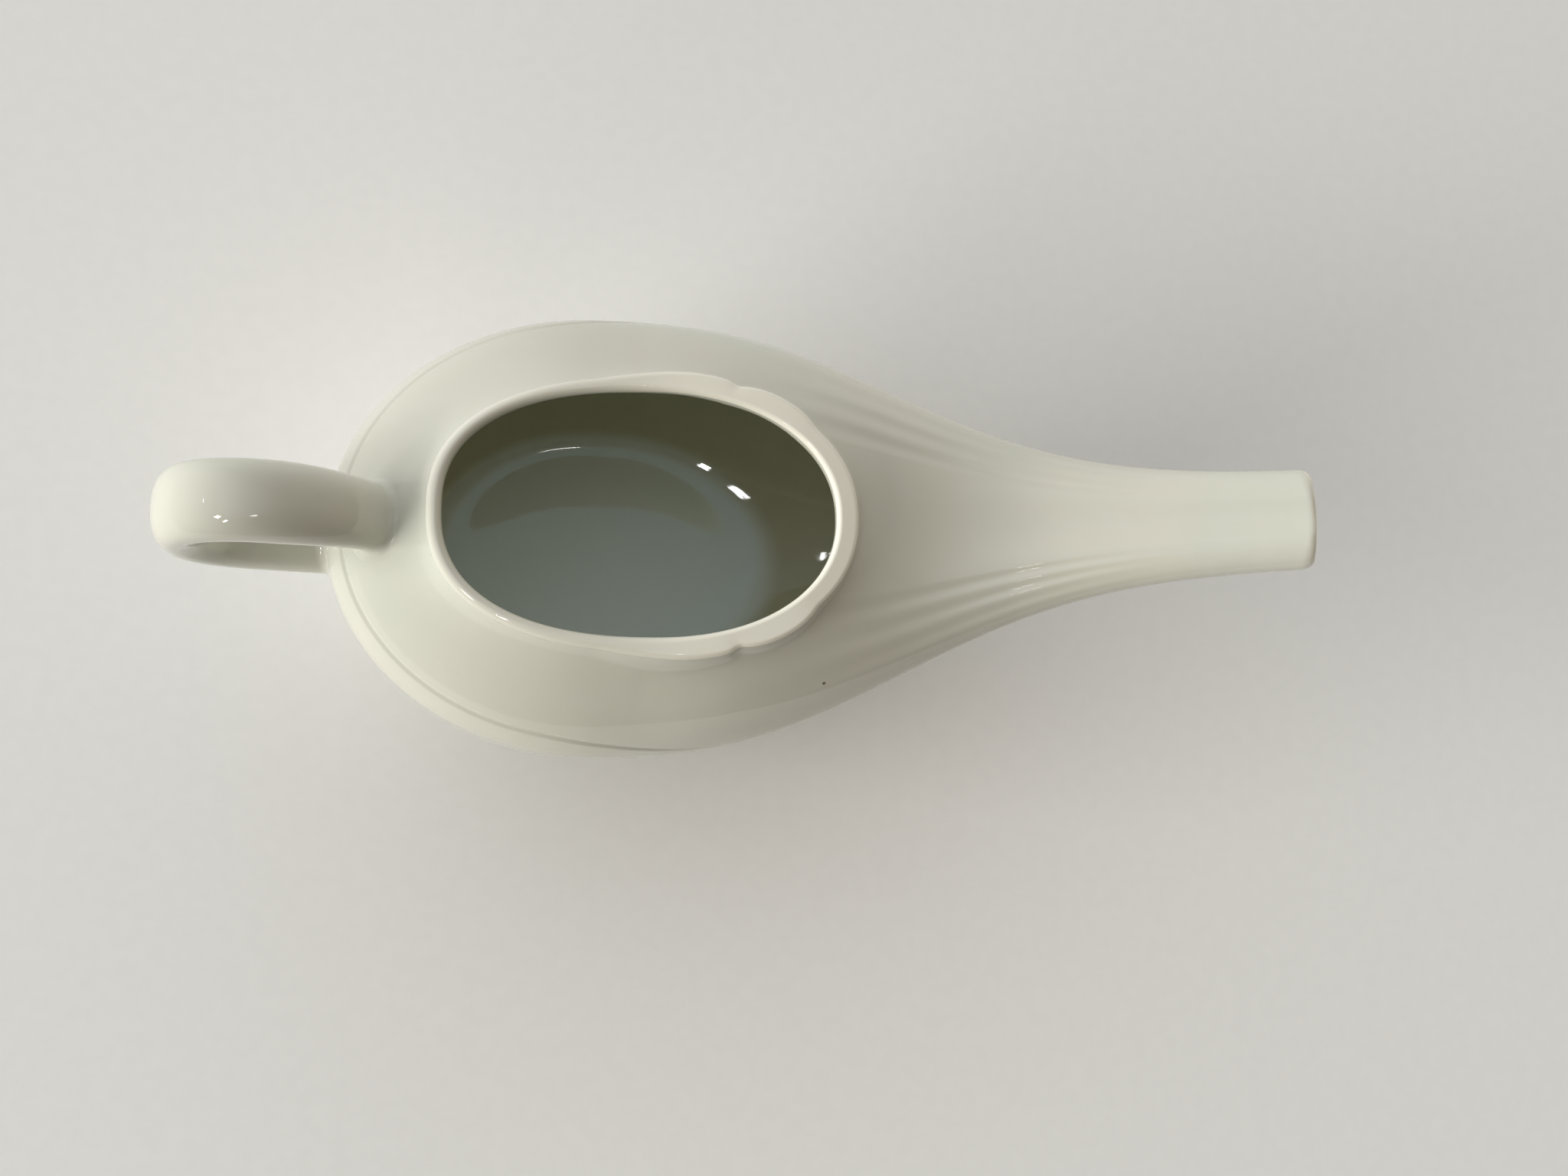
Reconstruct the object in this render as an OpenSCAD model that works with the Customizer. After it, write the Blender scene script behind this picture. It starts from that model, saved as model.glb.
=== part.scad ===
// Boat-shaped feeding bottle in glazed ceramic: an invalid feeder with an oval mouth, a scalloped
// collar, a long fluted spout and a loop handle. Millimetres, +Z up, +X towards the spout.
// The origin lies on the table, under the widest station of the body, and Y = 0 halves the vessel.
//
// The body is two half shells luted together at the belt, which is the widest line all round.
// Every surface is a function of plan position, so both shells, the collar and the spout end on
// the same edges and the whole vessel follows when one size is changed.

/* [Body] */
// Greatest width of the body, at the belt
body_w = 72; // [66:1:80]
// Length of the round rear of the body, back from the widest station
rear_len = 42.5; // [40:0.5:46]
// Height of the belt above the table
belt_z = 34; // [31:0.5:38]
// Height of the dome above the belt, if it had no mouth
deck_rise = 21; // [19:0.5:23]
// Thickness of the wall of the body
wall = 3; // [2.4:0.1:3.4]
// Thickness of the floor, without the foot
floor_t = 3.8; // [3:0.1:5]

/* [Foot] */
// Height of the foot ring
foot_h = 2.2; // [1.4:0.1:3]
// Width of the face that the foot ring stands on
foot_w = 3.5; // [2.5:0.1:5]

/* [Shoulder line] */
// Height of the incised line above the belt, as an angle up the dome
line_angle = 20.5; // [17:0.5:23]
// Depth of the incised line
line_depth = 0.35; // [0.2:0.05:0.5]
// Width of the incised line
line_w = 1.2; // [0.9:0.1:1.6]

/* [Mouth and collar] */
// Middle of the mouth, ahead of the widest station
mouth_x = 7.9; // [6:0.1:9]
// Breadth of the deck behind the mouth
shelf = 18.5; // [18.5:0.1:21]
// Length of the mouth ahead of its middle
mouth_front = 28.2; // [25:0.1:29]
// Width of the mouth
mouth_w = 38; // [34:1:40]
// Height of the collar's crest above the belt
crest_rise = 22; // [21:0.5:24]
// Thickness of the rounded rim at the rear and the sides
rim_t = 2.4; // [2.2:0.1:2.8]
// Thickness of the collar at its front lobe
lobe_t = 3.6; // [3:0.1:4.4]
// Spread of the collar's foot over the dome at the rear and the sides
flare_w = 4.5; // [3:0.1:5]

/* [Spout] */
// Reach of the spout's end, ahead of the widest station
tip_x = 112; // [100:1:124]
// Rise of the spout's middle line above the belt
tip_rise = 29; // [22:0.5:34]
// Width of the spout's end
tip_w = 15.6; // [14:0.2:20]
// Depth of the flutes on the spout's shoulders
flute_depth = 0.25; // [0.1:0.05:0.6]
// Thickness of the spout's wall at its end
lip_wall = 2.6; // [2:0.1:2.8]
// Length of the rounded drinking end
lip_len = 3; // [2.6:0.1:5]

/* [Handle] */
// Width of the strap
strap_w = 12.2; // [9:0.2:14]
// Thickness of the strap
strap_t = 7.5; // [5:0.5:8]
// Distance from the rear of the body to the middle of the strap at the back of the loop
loop_out = 20.4; // [19:0.2:28]
// Height of the top of the loop above the belt, to the middle of the strap
loop_top = 24; // [22:0.5:28]
// Loss of width of the strap towards its upper root, as a share of its width
strap_taper = 0.14; // [0:0.01:0.2]
// Spread of the strap where it is luted to the body, as a share of its size
root_flare = 0.1; // [0.05:0.01:0.3]

/* [Hidden] */

glaze = "#f1f1ec";
biscuit = "#e6ddcf";

// The spout leaves the body at this station, as a square cut through both half shells.
root_x = 45;
// The belt starts to climb towards the spout here.
rise_start = 6;
rise_power = 1.6;
// How fast the plan, the dome and the hull fade from body to spout.
plan_fade = [59.7, 2.65];
dome_fade = [46, 2];
hull_fade = [78, 2.7];
// Heights of the spout's end over and under its middle line.
tip_top = 4;
tip_drop = 6.5;
// Squareness of the cross-section: dome and hull, on the body and on the spout.
dome_power = [2, 3.6];
hull_power = [3.2, 2.2];
// The hull is aimed below the table, so that the foot cuts it to a flat.
hull_drop = belt_z + 2;
floor_z = foot_h + floor_t;
// The foot ring stands this far in from the edge of the flat underside.
foot_inset = 0.5;
// The spout's end is cut square to its climb.
tip_tilt = atan(rise_power * tip_rise / (tip_x - rise_start));

// Squareness of the mouth's outline behind and ahead of its middle.
mouth_power = [2.4, 2.15];
mouth_rear = rear_len + mouth_x - shelf;
crest_z = belt_z + crest_rise;
// The three cusps of the scalloped front on each side, as angles from the spout's direction.
cusps = [29, 58.5, 112];
// Thickness at the first two cusps, and the swell of the lobes beyond them, as shares of lobe_t.
notch = [0.94 * lobe_t, 0.83 * lobe_t];
swell = [0.32 * lobe_t, 0.24 * lobe_t];
// Fullness of the three lobes, and how far the last one leans towards the front.
lobe_power = [4, 2.4, 2.2];
lobe_lean = 0.45;
// Height that the lobes lose towards their edge, and the radii of their outer and inner edges.
lobe_drop = 0.7;
lobe_r = [0.9, 0.75];
// Spread of the collar's foot at the front and at the second cusp.
flare_front = [0.8, 1.5];
// The dome sweeps up to the front lobes over this length, so that they stand this high above it.
sweep_len = 34;
lobe_step = 1.4;
lobe_x = mouth_x + mouth_front + lobe_t;
sweep_rise = max(0, crest_z - lobe_drop - lobe_step - belt(lobe_x) - rise(lobe_x));
// The inner edge of the collar's joint lies nearer the mouth by this share of the wall.
joint_lean = 0.8;

// Three flutes a side, between these shares of the half width. The middle one meets a cusp.
flute_in = 0.43;
flute_pitch = 0.15;
flute_count = 3;
flute_out = flute_in + flute_count * flute_pitch;
// The flutes come in between the first two stations and die out between the other two.
flute_start = [16, 42];
flute_end = [62, 92];
// Hollow of the spout's flat top, and the length over which it comes in.
dish = 0.5;
dish_len = 30;

// Angle at the mouth of the ray that runs to the corner of the spout's root, and of the widest one.
corner_angle = cusps[0] / (flute_in + 1.5 * flute_pitch);
wide_angle = 98;

// Rounding of the drinking end's corners in plan, and its bulge.
lip_corner = 1;
lip_bulge = 0.5;

// Clearance that the slip fills between the handle and the body.
lute_gap = 0.12;
// The flare of the strap dies away over this share of one arc of the loop.
flare_len = 0.07;
strap_power = 2.6;
// The strap has its full width from this share of the upper arc on.
taper_len = 0.6;

// The incised line falls forward between two stations to this angle, and dies out between two more.
line_end = 6;
line_fall = [-12, 24];
line_span = [8, 24];

// Steps of the surfaces: half of the spout's flat top, all flutes, the flank beyond them, the side
// of the body with the share of it that lies ahead of the second cusp, its rear and the hull.
top_steps = 3;
flute_steps = 12;
edge_steps = 3;
flank_steps = 16;
ahead_steps = 5;
rear_steps = 12;
hull_steps = 12;
dome_steps = 10;
lining_steps = 5;
bowl_steps = 8;
spout_steps = [11, 6];
strap_round = 28;
strap_steps = 24;
// Places of the curves of the collar's throat and foot, and angles round its rim and the lip.
throat_rows = [0, 0.35, 0.7];
foot_rows = [0.3, 0.55, 0.8, 1];
rim_in = [180 : -40 : 100];
rim_out = [80 : -40 : 0];
lip_arc = [180, 140, 105, 75, 40, 0];

// A wall that stands upright at the belt is followed no further than to these shares of its reach
// and depth.
max_reach = 0.95;
max_depth = 0.97;

function mix(a, b, t) = a + (b - a) * t;
function ease(t) = let (u = min(1, max(0, t))) u * u * (3 - 2 * u);
function between(x, span) = ease((x - span[0]) / (span[1] - span[0]));
function unit(v) = v / norm(v);

// A weight that is 1 on the body and falls to 0 along the spout.
function fade(x, how) = x <= 0 ? 1 : exp(-pow(x / how[0], how[1]));

// Height of the belt, half width at the belt, rise of the dome and drop of the hull at station x.
function belt(x) = belt_z
    + tip_rise * pow(max(0, x - rise_start) / (tip_x - rise_start), rise_power);
function half_width(x, inset) = x < 0
    ? (body_w / 2 - inset) * sqrt(max(0, 1 - pow(x / (rear_len - inset), 2)))
    : mix(tip_w, body_w, fade(x, plan_fade)) / 2 - inset;
function rise(x) = mix(tip_top, deck_rise, fade(x, dome_fade));
function drop(x) = mix(tip_drop, hull_drop, fade(x, hull_fade));

// Share of the way from the middle line out to the belt, at a plan position.
function reach(x, y, inset) = x < 0
    ? norm([x / (rear_len - inset), y / (body_w / 2 - inset)])
    : abs(y) / half_width(x, inset);

// Hollow of the flutes and of the spout's flat top at a plan position.
function fluting(x, r) = r < flute_in || r > flute_out ? 0
    : flute_depth * (1 - cos(360 * (r - flute_in) / flute_pitch)) / 2
    * between(x, flute_start) * (1 - between(x, flute_end));
function dishing(x, r) = r > flute_in ? 0
    : dish * pow(1 - pow(r / flute_in, 2), 2) * ease((x - root_x) / dish_len);

// Rise of the dome towards the collar's front: full at the lobes, and eased out ahead of them.
function sweep(x, y) = let (
        a = atan2(y, x - mouth_x),
        ahead = max(0, norm([x - mouth_x, y]) - mouth_r(a) - lobe_t)
    ) sweep_rise * (1 - plain(a)) * pow(max(0, 1 - ahead / sweep_len), 2);

function dome_z(x, y, inset) = let (
        r = reach(x, y, inset),
        p = mix(dome_power[1], dome_power[0], fade(x, dome_fade)),
        cut = inset > 0 ? 0 : fluting(x, r) + dishing(x, r)
    ) belt(x) + (rise(x) + sweep(x, y) - inset) * sqrt(max(0, 1 - pow(r, p))) - cut;
function hull_z(x, y, inset) = let (
        r = reach(x, y, inset),
        b = mix(hull_power[1], hull_power[0], fade(x, hull_fade))
    ) belt(x) - (drop(x) - inset) * pow(max(0, 1 - r * r), 1 / b);

// Plan radius of the mouth about its middle, in the direction a.
function mouth_r(a) = let (
        ahead = cos(a) > 0,
        p = mouth_power[ahead ? 1 : 0],
        l = ahead ? mouth_front : mouth_rear
    ) pow(pow(abs(cos(a)) / l, p) + pow(abs(sin(a)) / (mouth_w / 2), p), -1 / p);

// One lobe of the scalloped collar: u runs from -1 at one cusp to 1 at the next.
function lobe(u, n) = 1 - pow(min(1, abs(u)), n);
// Thickness of the collar in the direction a: three lobes a side, the last one dies into the rim.
function collar_t(a) = let (t = abs(a))
    t < cusps[0] ? notch[0] + (lobe_t - notch[0]) * lobe(t / cusps[0], lobe_power[0])
    : t < cusps[1] ? let (u = (t - cusps[0]) / (cusps[1] - cusps[0]))
        mix(notch[0], notch[1], u) + swell[0] * lobe(2 * u - 1, lobe_power[1])
    : t < cusps[2] ? let (u = (t - cusps[1]) / (cusps[2] - cusps[1]))
        mix(notch[1], rim_t, ease(u)) + swell[1] * lobe(2 * pow(u, lobe_lean) - 1, lobe_power[2])
    : rim_t;
// How much of the plain rim, 1 at the rear, is left at the direction a.
function plain(a) = ease((abs(a) - cusps[1]) / (cusps[2] - cusps[1]));
function flare(a) =
    mix(mix(flare_front[0], flare_front[1], ease(abs(a) / cusps[1])), flare_w, plain(a));
function joint_r(a) = mouth_r(a) + collar_t(a) + flare(a);
function from_mouth(a, r) = [mouth_x + r * cos(a), r * sin(a)];

// A surface through a grid of points, grid[k][j]: k runs round, j runs along. The j loop is closed
// on itself, or else its two ends are closed by fans to the two tips. The second half of the round
// is split the other way, so that a symmetrical grid gives a symmetrical solid.
module skin(grid, turned = false, tips = []) {
    n = len(grid);
    m = len(grid[0]);
    open_ends = len(tips) == 2;
    points = concat([for (row = grid) each row], tips);
    quads = [for (k = [0 : n - 1], j = [0 : open_ends ? m - 2 : m - 1])
        let (a = k * m + j, b = k * m + (j + 1) % m,
            c = (k + 1) % n * m + (j + 1) % m, d = (k + 1) % n * m + j)
        each k < n / 2 ? [[a, b, c], [a, c, d]] : [[a, b, d], [b, c, d]]];
    fans = open_ends ? [for (k = [0 : n - 1])
        let (e = (k + 1) % n)
        each [[k * m, e * m, n * m], [e * m + m - 1, k * m + m - 1, n * m + 1]]] : [];
    polyhedron(points, [for (f = concat(quads, fans)) turned ? [f[0], f[2], f[1]] : f]);
}

// A list of rays for the +Y side and its mirror image, as one closed round.
function both_sides(rays) = concat(rays,
    [for (i = [len(rays) - 2 : -1 : 1]) [rays[i][0], rays[i][1], -rays[i][2], -rays[i][3]]]);

// Stations of the belt, as rays [kind, place, side, angle at the mouth]. Kind 0 lies on the cut at
// the spout's root, where the place is the reach; 1 on the flank, where it is x; 2 on the round
// rear, where it is the angle of the ellipse.
flank_rays = concat(
    [for (i = [0 : flank_steps]) [1, root_x * (1 - i / flank_steps), 1,
        i < ahead_steps ? mix(corner_angle, cusps[1], i / ahead_steps)
        : mix(cusps[1], wide_angle, (i - ahead_steps) / (flank_steps - ahead_steps))]],
    [for (i = [1 : rear_steps]) [2, 90 * i / rear_steps, 1, mix(wide_angle, 180, i / rear_steps)]]);
upper_reach = concat([for (i = [0 : top_steps - 1]) flute_in * i / top_steps],
    [for (i = [0 : flute_steps - 1]) mix(flute_in, flute_out, i / flute_steps)],
    [for (i = [0 : edge_steps - 1]) mix(flute_out, 1, i / edge_steps)]);
lower_reach = [for (i = [0 : hull_steps - 1]) sin(90 * i / hull_steps)];
deck_rays = both_sides(concat([for (r = upper_reach) [0, r, 1, corner_angle * r]], flank_rays));
bowl_rays = both_sides(concat([for (r = lower_reach) [0, r, 1, 0]], flank_rays));

// Plan position where a ray starts: on the belt, or on the cut at the spout's root.
function edge(ray, inset) = ray[0] == 2
    ? [-(rear_len - inset) * sin(ray[1]), ray[2] * (body_w / 2 - inset) * cos(ray[1])]
    : let (x = ray[0] == 0 ? root_x : ray[1])
        [x, ray[2] * half_width(x, inset) * (ray[0] == 0 ? ray[1] : 1)];
// How evenly a ray is divided: rays from the belt start in fine steps, where the wall is upright.
function even(ray) = ray[0] == 0 ? 1 - pow(ray[1], 4) : 0;

// The incised line runs level round the rear, then falls forward and dies out on the flank.
function line_lat(x) = mix(line_angle, line_end, between(x, line_fall));
function line_fade(x) = 1 - between(x, line_span);

// Point at the share s of a deck ray from its edge e to its end j. Ahead of the widest station the
// ray is straight in terms of the reach, so that it runs with the flutes where they leave the cut.
function along(ray, e, j, s, inset) = ray[0] == 2 ? mix(e, j, s)
    : let (x = mix(e[0], j[0], s), r = mix(reach(e[0], e[1], inset), reach(j[0], j[1], inset), s))
        [x, ray[2] * r * half_width(x, inset)];

// Points of a deck ray on the outside: five up to the incised line, then even steps of the reach.
line_row = 4;
function deck_outer(ray) = let (
        e = edge(ray, 0),
        j = from_mouth(ray[3], joint_r(ray[3])),
        start = reach(e[0], e[1], 0),
        end = min(max_reach, reach(j[0], j[1], 0)),
        line = line_lat(e[0]),
        half = line_w / deck_rise * 90 / PI,
        low = line - half,
        angles = [0, 0.4 * low, 0.75 * low, low, line],
        reaches = concat([for (a = angles) cos(a)],
            [for (i = [0 : dome_steps]) mix(cos(line + half), end, i / dome_steps)]),
        last = len(reaches) - 1,
        inward = unit(j - e)
    ) [for (i = [0 : last]) let (
        s = mix((1 - reaches[i]) / (1 - end), i / last, even(ray)),
        p = along(ray, e, j, s, 0),
        cut = i == line_row && ray[0] > 0 ? line_depth * line_fade(e[0]) : 0
    ) [p[0] + inward[0] * cut * cos(line), p[1] + inward[1] * cut * cos(line),
        dome_z(p[0], p[1], 0) - cut * sin(line)]];

function deck_inner(ray, steps = lining_steps) = let (
        e = edge(ray, wall),
        j = from_mouth(ray[3], joint_r(ray[3]) - joint_lean * wall),
        end = acos(min(max_reach, reach(j[0], j[1], wall)))
    ) [for (i = [steps : -1 : 0]) let (
        s = mix((1 - cos(end * i / steps)) / (1 - cos(end)), i / steps, even(ray)),
        p = along(ray, e, j, s, wall)
    ) [p[0], p[1], dome_z(p[0], p[1], wall)]];

// Domed upper shell, from the belt up to the collar, open in front where the spout joins it.
module deck() {
    color(glaze) skin([for (ray = deck_rays) concat(deck_outer(ray), deck_inner(ray))]);
}

// Slope of the dome along the direction a, at the plan radius r about the mouth.
function dome_slope(a, r, inset) = let (p = from_mouth(a, r), q = from_mouth(a, r + 0.5))
    (dome_z(q[0], q[1], inset) - dome_z(p[0], p[1], inset)) * 2;
function bend(a, b, c, t) = mix(mix(a, b, t), mix(b, c, t), t);

// Outline of the collar's section in the direction a, as [radius, height]: up the inside from the
// dome's inner face, over the rounded rim, and down the foot that sweeps out over the dome.
function collar_section(a) = let (
        ri = mouth_r(a),
        ro = ri + collar_t(a),
        rj = joint_r(a),
        rk = rj - joint_lean * wall,
        pj = from_mouth(a, rj),
        pk = from_mouth(a, rk),
        zj = dome_z(pj[0], pj[1], 0),
        zk = dome_z(pk[0], pk[1], wall),
        outer_r = mix(lobe_r[0], rim_t / 2, plain(a)),
        inner_r = mix(lobe_r[1], rim_t / 2, plain(a)),
        edge_z = crest_z - lobe_drop * (1 - plain(a)),
        inside = [ri, zk - dome_slope(a, rk, wall) * (rk - ri)],
        outside = [ro, zj - dome_slope(a, rj, 0) * (rj - ro)],
        start = [ri, crest_z - inner_r],
        stop = [ro, edge_z - outer_r]
    ) concat(
        [for (t = throat_rows) bend([rk, zk], inside, start, t)],
        [for (t = rim_in) [ri + inner_r, crest_z - inner_r] + inner_r * [cos(t), sin(t)]],
        [for (t = rim_out) [ro - outer_r, edge_z - outer_r] + outer_r * [cos(t), sin(t)]],
        [for (t = foot_rows) bend(stop, outside, [rj, zj], t)]);

// Raised rim round the mouth, with the scalloped front.
module collar() {
    color(glaze) skin([for (ray = deck_rays) [for (q = collar_section(ray[3]))
        concat(from_mouth(ray[3], q[0]), q[1])]], turned = true);
}

// Share of the way from a plan point towards the middle of the floor at which the hull has come
// down to height h, found by halving.
function landing(e, h, inset, low = 0, high = 1, n = 18) = let (
        s = (low + high) / 2,
        p = e * (1 - s)
    ) n == 0 ? s : hull_z(p[0], p[1], inset) > h
        ? landing(e, h, inset, s, high, n - 1) : landing(e, h, inset, low, s, n - 1);

// A ray of the bowl from the belt in to the floor at height h, in steps of even depth.
function bowl_side(ray, inset, h, steps) = let (
        e = edge(ray, inset),
        f = e * (1 - landing(e, h, inset)),
        depth = (belt(e[0]) - h) / (drop(e[0]) - inset),
        b = hull_power[0],
        end = 1 - sqrt(max(0, 1 - pow(min(max_depth, depth), b)))
    ) [for (i = [0 : steps]) let (
        s = mix((1 - sqrt(1 - pow(min(max_depth, depth) * i / steps, b))) / end, i / steps,
            even(ray)),
        p = mix(e, f, s)
    ) [p[0], p[1], i == steps ? h : hull_z(p[0], p[1], inset)]];
function reversed(list) = [for (i = [len(list) - 1 : -1 : 0]) list[i]];

// Lower shell, from the belt down to the flat floor.
module bowl() {
    color(glaze) skin([for (ray = bowl_rays)
        concat(reversed(bowl_side(ray, wall, floor_z, bowl_steps)),
            bowl_side(ray, 0, foot_h, bowl_steps))],
        turned = true, tips = [[0, 0, floor_z], [0, 0, foot_h]]);
}

// Outline of the bowl's flat underside, drawn in by the distance d.
function underside(d) = [for (ray = bowl_rays) let (
        e = edge(ray, 0),
        f = e * (1 - landing(e, foot_h, 0))
    ) f - d * unit(f)];

// Oval ring that the vessel stands on.
module foot_ring() {
    color(biscuit) linear_extrude(foot_h) difference() {
        polygon(underside(foot_inset));
        polygon(underside(foot_inset + foot_w));
    }
}

// Round of the spout's section: [reach, side, 1 for the dome or -1 for the hull].
spout_round = let (half = concat([for (r = upper_reach) [r, 1, 1]], [[1, 1, 1]],
        [for (i = [len(lower_reach) - 1 : -1 : 0]) [lower_reach[i], 1, -1]]))
    concat(half, [for (i = [len(half) - 2 : -1 : 1]) [half[i][0], -1, half[i][2]]]);

function tilt(x) = tip_tilt * ease((x - root_x) / (tip_x - root_x));
function spout_wall(x) = mix(wall, lip_wall, max(0, (x - root_x) / (tip_x - root_x)));

// Point of the spout's skin on the tilted cut through the middle line at x0.
function on_cut(x0, place, inset, x, n = 8) = let (
        y = place[0] * place[1] * half_width(x, inset),
        z = place[2] > 0 ? dome_z(x, y, inset) : hull_z(x, y, inset)
    ) n == 0 ? [x, y, z]
        : on_cut(x0, place, inset, x0 - (z - belt(x0)) * tan(tilt(x0)), n - 1);
function spout_point(x0, place, inner) =
    on_cut(x0, place, inner ? spout_wall(x0) : 0, x0);

lip_x = tip_x - lip_len * cos(tip_tilt);
function spout_stations(steps) = [for (i = [0 : steps]) mix(root_x, lip_x, i / steps)];

// Fluted tube from the body to the drinking end.
module spout() {
    color(glaze) skin([for (place = spout_round) concat(
        [for (x = spout_stations(spout_steps[0])) spout_point(x, place, false)],
        [for (x = reversed(spout_stations(spout_steps[1]))) spout_point(x, place, true)])],
        turned = true);
}

// Section of the drinking end on one place of the spout's round: forward along the bore, round
// the edge, and back along the outside.
function lip_line(place) = let (
        o = spout_point(lip_x, place, false),
        i = spout_point(lip_x, place, true),
        ahead = [cos(tip_tilt), 0, sin(tip_tilt)],
        side = pow(o[1] / half_width(lip_x, 0), 2),
        bead = lip_wall / 2 + lip_corner * side,
        straight = lip_len - bead - lip_bulge * side
    ) concat([i], [for (t = lip_arc)
        (o + i) / 2 + (o - i) / 2 * cos(t) + ahead * (straight + bead * sin(t))], [o]);

// Rounded drinking end of the spout.
module spout_lip() {
    color(glaze) skin([for (place = spout_round) lip_line(place)]);
}

// Middle line of the strap in the X-Z plane, as two arcs: over the top for t from 0 to 1, and back
// in to the body for t from 1 to 2. Its places are [ahead of the rear of the belt, above the belt].
upper_root = [9.5, deck_rise / 2];
upper_pull = [[1.5, loop_top + 2], [-loop_out, loop_top + 7]];
loop_back = [-loop_out, loop_top / 2];
lower_pull = [[-loop_out, -2], [-9.5, -1]];
lower_root = [3.5, -6.5];
function from_rear(places) = [for (p = places) [p[0] - rear_len, p[1] + belt_z]];
upper_arc = from_rear(concat([upper_root], upper_pull, [loop_back]));
lower_arc = from_rear(concat([loop_back], lower_pull, [lower_root]));
function cubic(p, t) = mix(bend(p[0], p[1], p[2], t), bend(p[1], p[2], p[3], t), t);
function loop(t) = t < 1 ? cubic(upper_arc, t) : cubic(lower_arc, t - 1);

// Point of the strap at t along the loop, at a across its thickness and w across its width.
function strap_point(t, a, w) = let (
        c = loop(t),
        d = unit(loop(t + 0.01) - loop(t - 0.01)),
        grow = 1 + root_flare * (exp(-t / flare_len) + exp((t - 2) / flare_len)),
        narrow = 1 - strap_taper * (1 - ease(t / taper_len))
    ) [c[0] - d[1] * a * grow, w * grow * narrow, c[1] + d[0] * a * grow];

// Whether a point lies in the body, which is taken larger by the luting gap.
function in_body(p) = reach(p[0], p[1], -lute_gap) < 1
    && p[2] < dome_z(p[0], p[1], -lute_gap) && p[2] > hull_z(p[0], p[1], -lute_gap);
// Where a line of the strap comes out of the body, between t = inside and t = outside.
function outlet(a, w, inside, outside, n = 16) = let (t = (inside + outside) / 2)
    n == 0 ? outside : in_body(strap_point(t, a, w))
        ? outlet(a, w, t, outside, n - 1) : outlet(a, w, inside, t, n - 1);

// One line of the strap at the angle g round its section, k times its full size from the middle.
function strap_line(g, k) = let (
        a = k * strap_t / 2 * sign(sin(g)) * pow(abs(sin(g)), 2 / strap_power),
        w = k * strap_w / 2 * sign(cos(g)) * pow(abs(cos(g)), 2 / strap_power),
        from = outlet(a, w, -0.12, 0.5),
        to = outlet(a, w, 2.2, 1.4)
    ) k < 1 ? [strap_point(from, a, w), strap_point(to, a, w)]
        : [for (i = [0 : strap_steps]) strap_point(mix(from, to, i / strap_steps), a, w)];

// Loop of flat strap, its two ends cut to the curve of the body.
module handle() {
    rings = [0.35, 0.7];
    color(glaze) skin([for (i = [0 : strap_round - 1]) let (g = 90 + 360 * i / strap_round) concat(
        [for (k = rings) strap_line(g, k)[0]],
        strap_line(g, 1),
        [for (k = reversed(rings)) strap_line(g, k)[1]])],
        tips = strap_line(0, 0));
}

bowl();
foot_ring();
deck();
collar();
spout();
spout_lip();
handle();
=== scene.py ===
# Looks of a boat-shaped feeding bottle in white glazed ceramic, built over its fixed CAD frame.
# Sizes are millimetres and degrees in the frame of the CAD: +X runs to the spout, +Z up, the origin
# lies on the table under the widest station, and Y = 0 halves the vessel. They become metres where
# a mesh is made.

import math

import bmesh
import bpy
import numpy as np
from mathutils import Matrix, Vector


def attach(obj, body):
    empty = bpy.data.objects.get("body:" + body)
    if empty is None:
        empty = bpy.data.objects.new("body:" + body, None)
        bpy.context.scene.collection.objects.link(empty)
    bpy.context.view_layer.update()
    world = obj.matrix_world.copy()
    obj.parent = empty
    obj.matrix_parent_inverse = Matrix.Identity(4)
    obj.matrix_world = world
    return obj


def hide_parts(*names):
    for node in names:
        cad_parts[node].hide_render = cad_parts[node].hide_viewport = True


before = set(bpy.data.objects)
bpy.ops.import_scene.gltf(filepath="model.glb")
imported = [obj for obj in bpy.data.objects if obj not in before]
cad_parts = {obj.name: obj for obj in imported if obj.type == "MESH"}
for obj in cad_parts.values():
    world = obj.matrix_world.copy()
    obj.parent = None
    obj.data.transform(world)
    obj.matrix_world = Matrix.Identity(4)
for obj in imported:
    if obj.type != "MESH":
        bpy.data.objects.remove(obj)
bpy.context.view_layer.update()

MM = 0.001

# Form of the vessel, with the same values as in the part's source. The belt is the widest line,
# with the hull below it and the dome of the deck above.
BODY_W = 72.0
REAR_LEN = 42.5
BELT_Z = 34.0
DECK_RISE = 21.0
HULL_DROP = BELT_Z + 2.0
WALL = 3.0
FLOOR_Z = 6.0
FOOT_H = 2.2
FOOT_W = 3.5
FOOT_INSET = 0.5
# Powers of the rounded sections, on the body and on the spout.
DOME_POWER = (2.0, 3.6)
HULL_POWER = (3.2, 2.2)
# Shoulder line: its angle up the dome, which falls towards the front, and where it dies out.
LINE_ANGLE = 20.5
LINE_END = 6.0
LINE_FALL = (-12.0, 24.0)
LINE_SPAN = (8.0, 24.0)
LINE_DEPTH = 0.35
# Mouth and collar. The cusps between the lobes are angles from the front.
MOUTH_X = 7.9
SHELF = 18.5
MOUTH_REAR = REAR_LEN + MOUTH_X - SHELF
MOUTH_FRONT = 28.2
MOUTH_W = 38.0
MOUTH_POWER = (2.4, 2.15)
CREST_Z = BELT_Z + 22.0
RIM_T = 2.4
LOBE_T = 3.6
LOBE_R = (0.9, 0.75)
LOBE_POWER = (4.0, 2.4, 2.2)
LOBE_LEAN = 0.45
CUSPS = (29.0, 58.5, 112.0)
NOTCH = (0.94 * LOBE_T, 0.83 * LOBE_T)
SWELL = (0.32 * LOBE_T, 0.24 * LOBE_T)
FLARE_W = 4.5
FLARE_FRONT = (0.8, 1.5)
SWEEP_LEN = 34.0
JOINT_LEAN = 0.8
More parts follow.
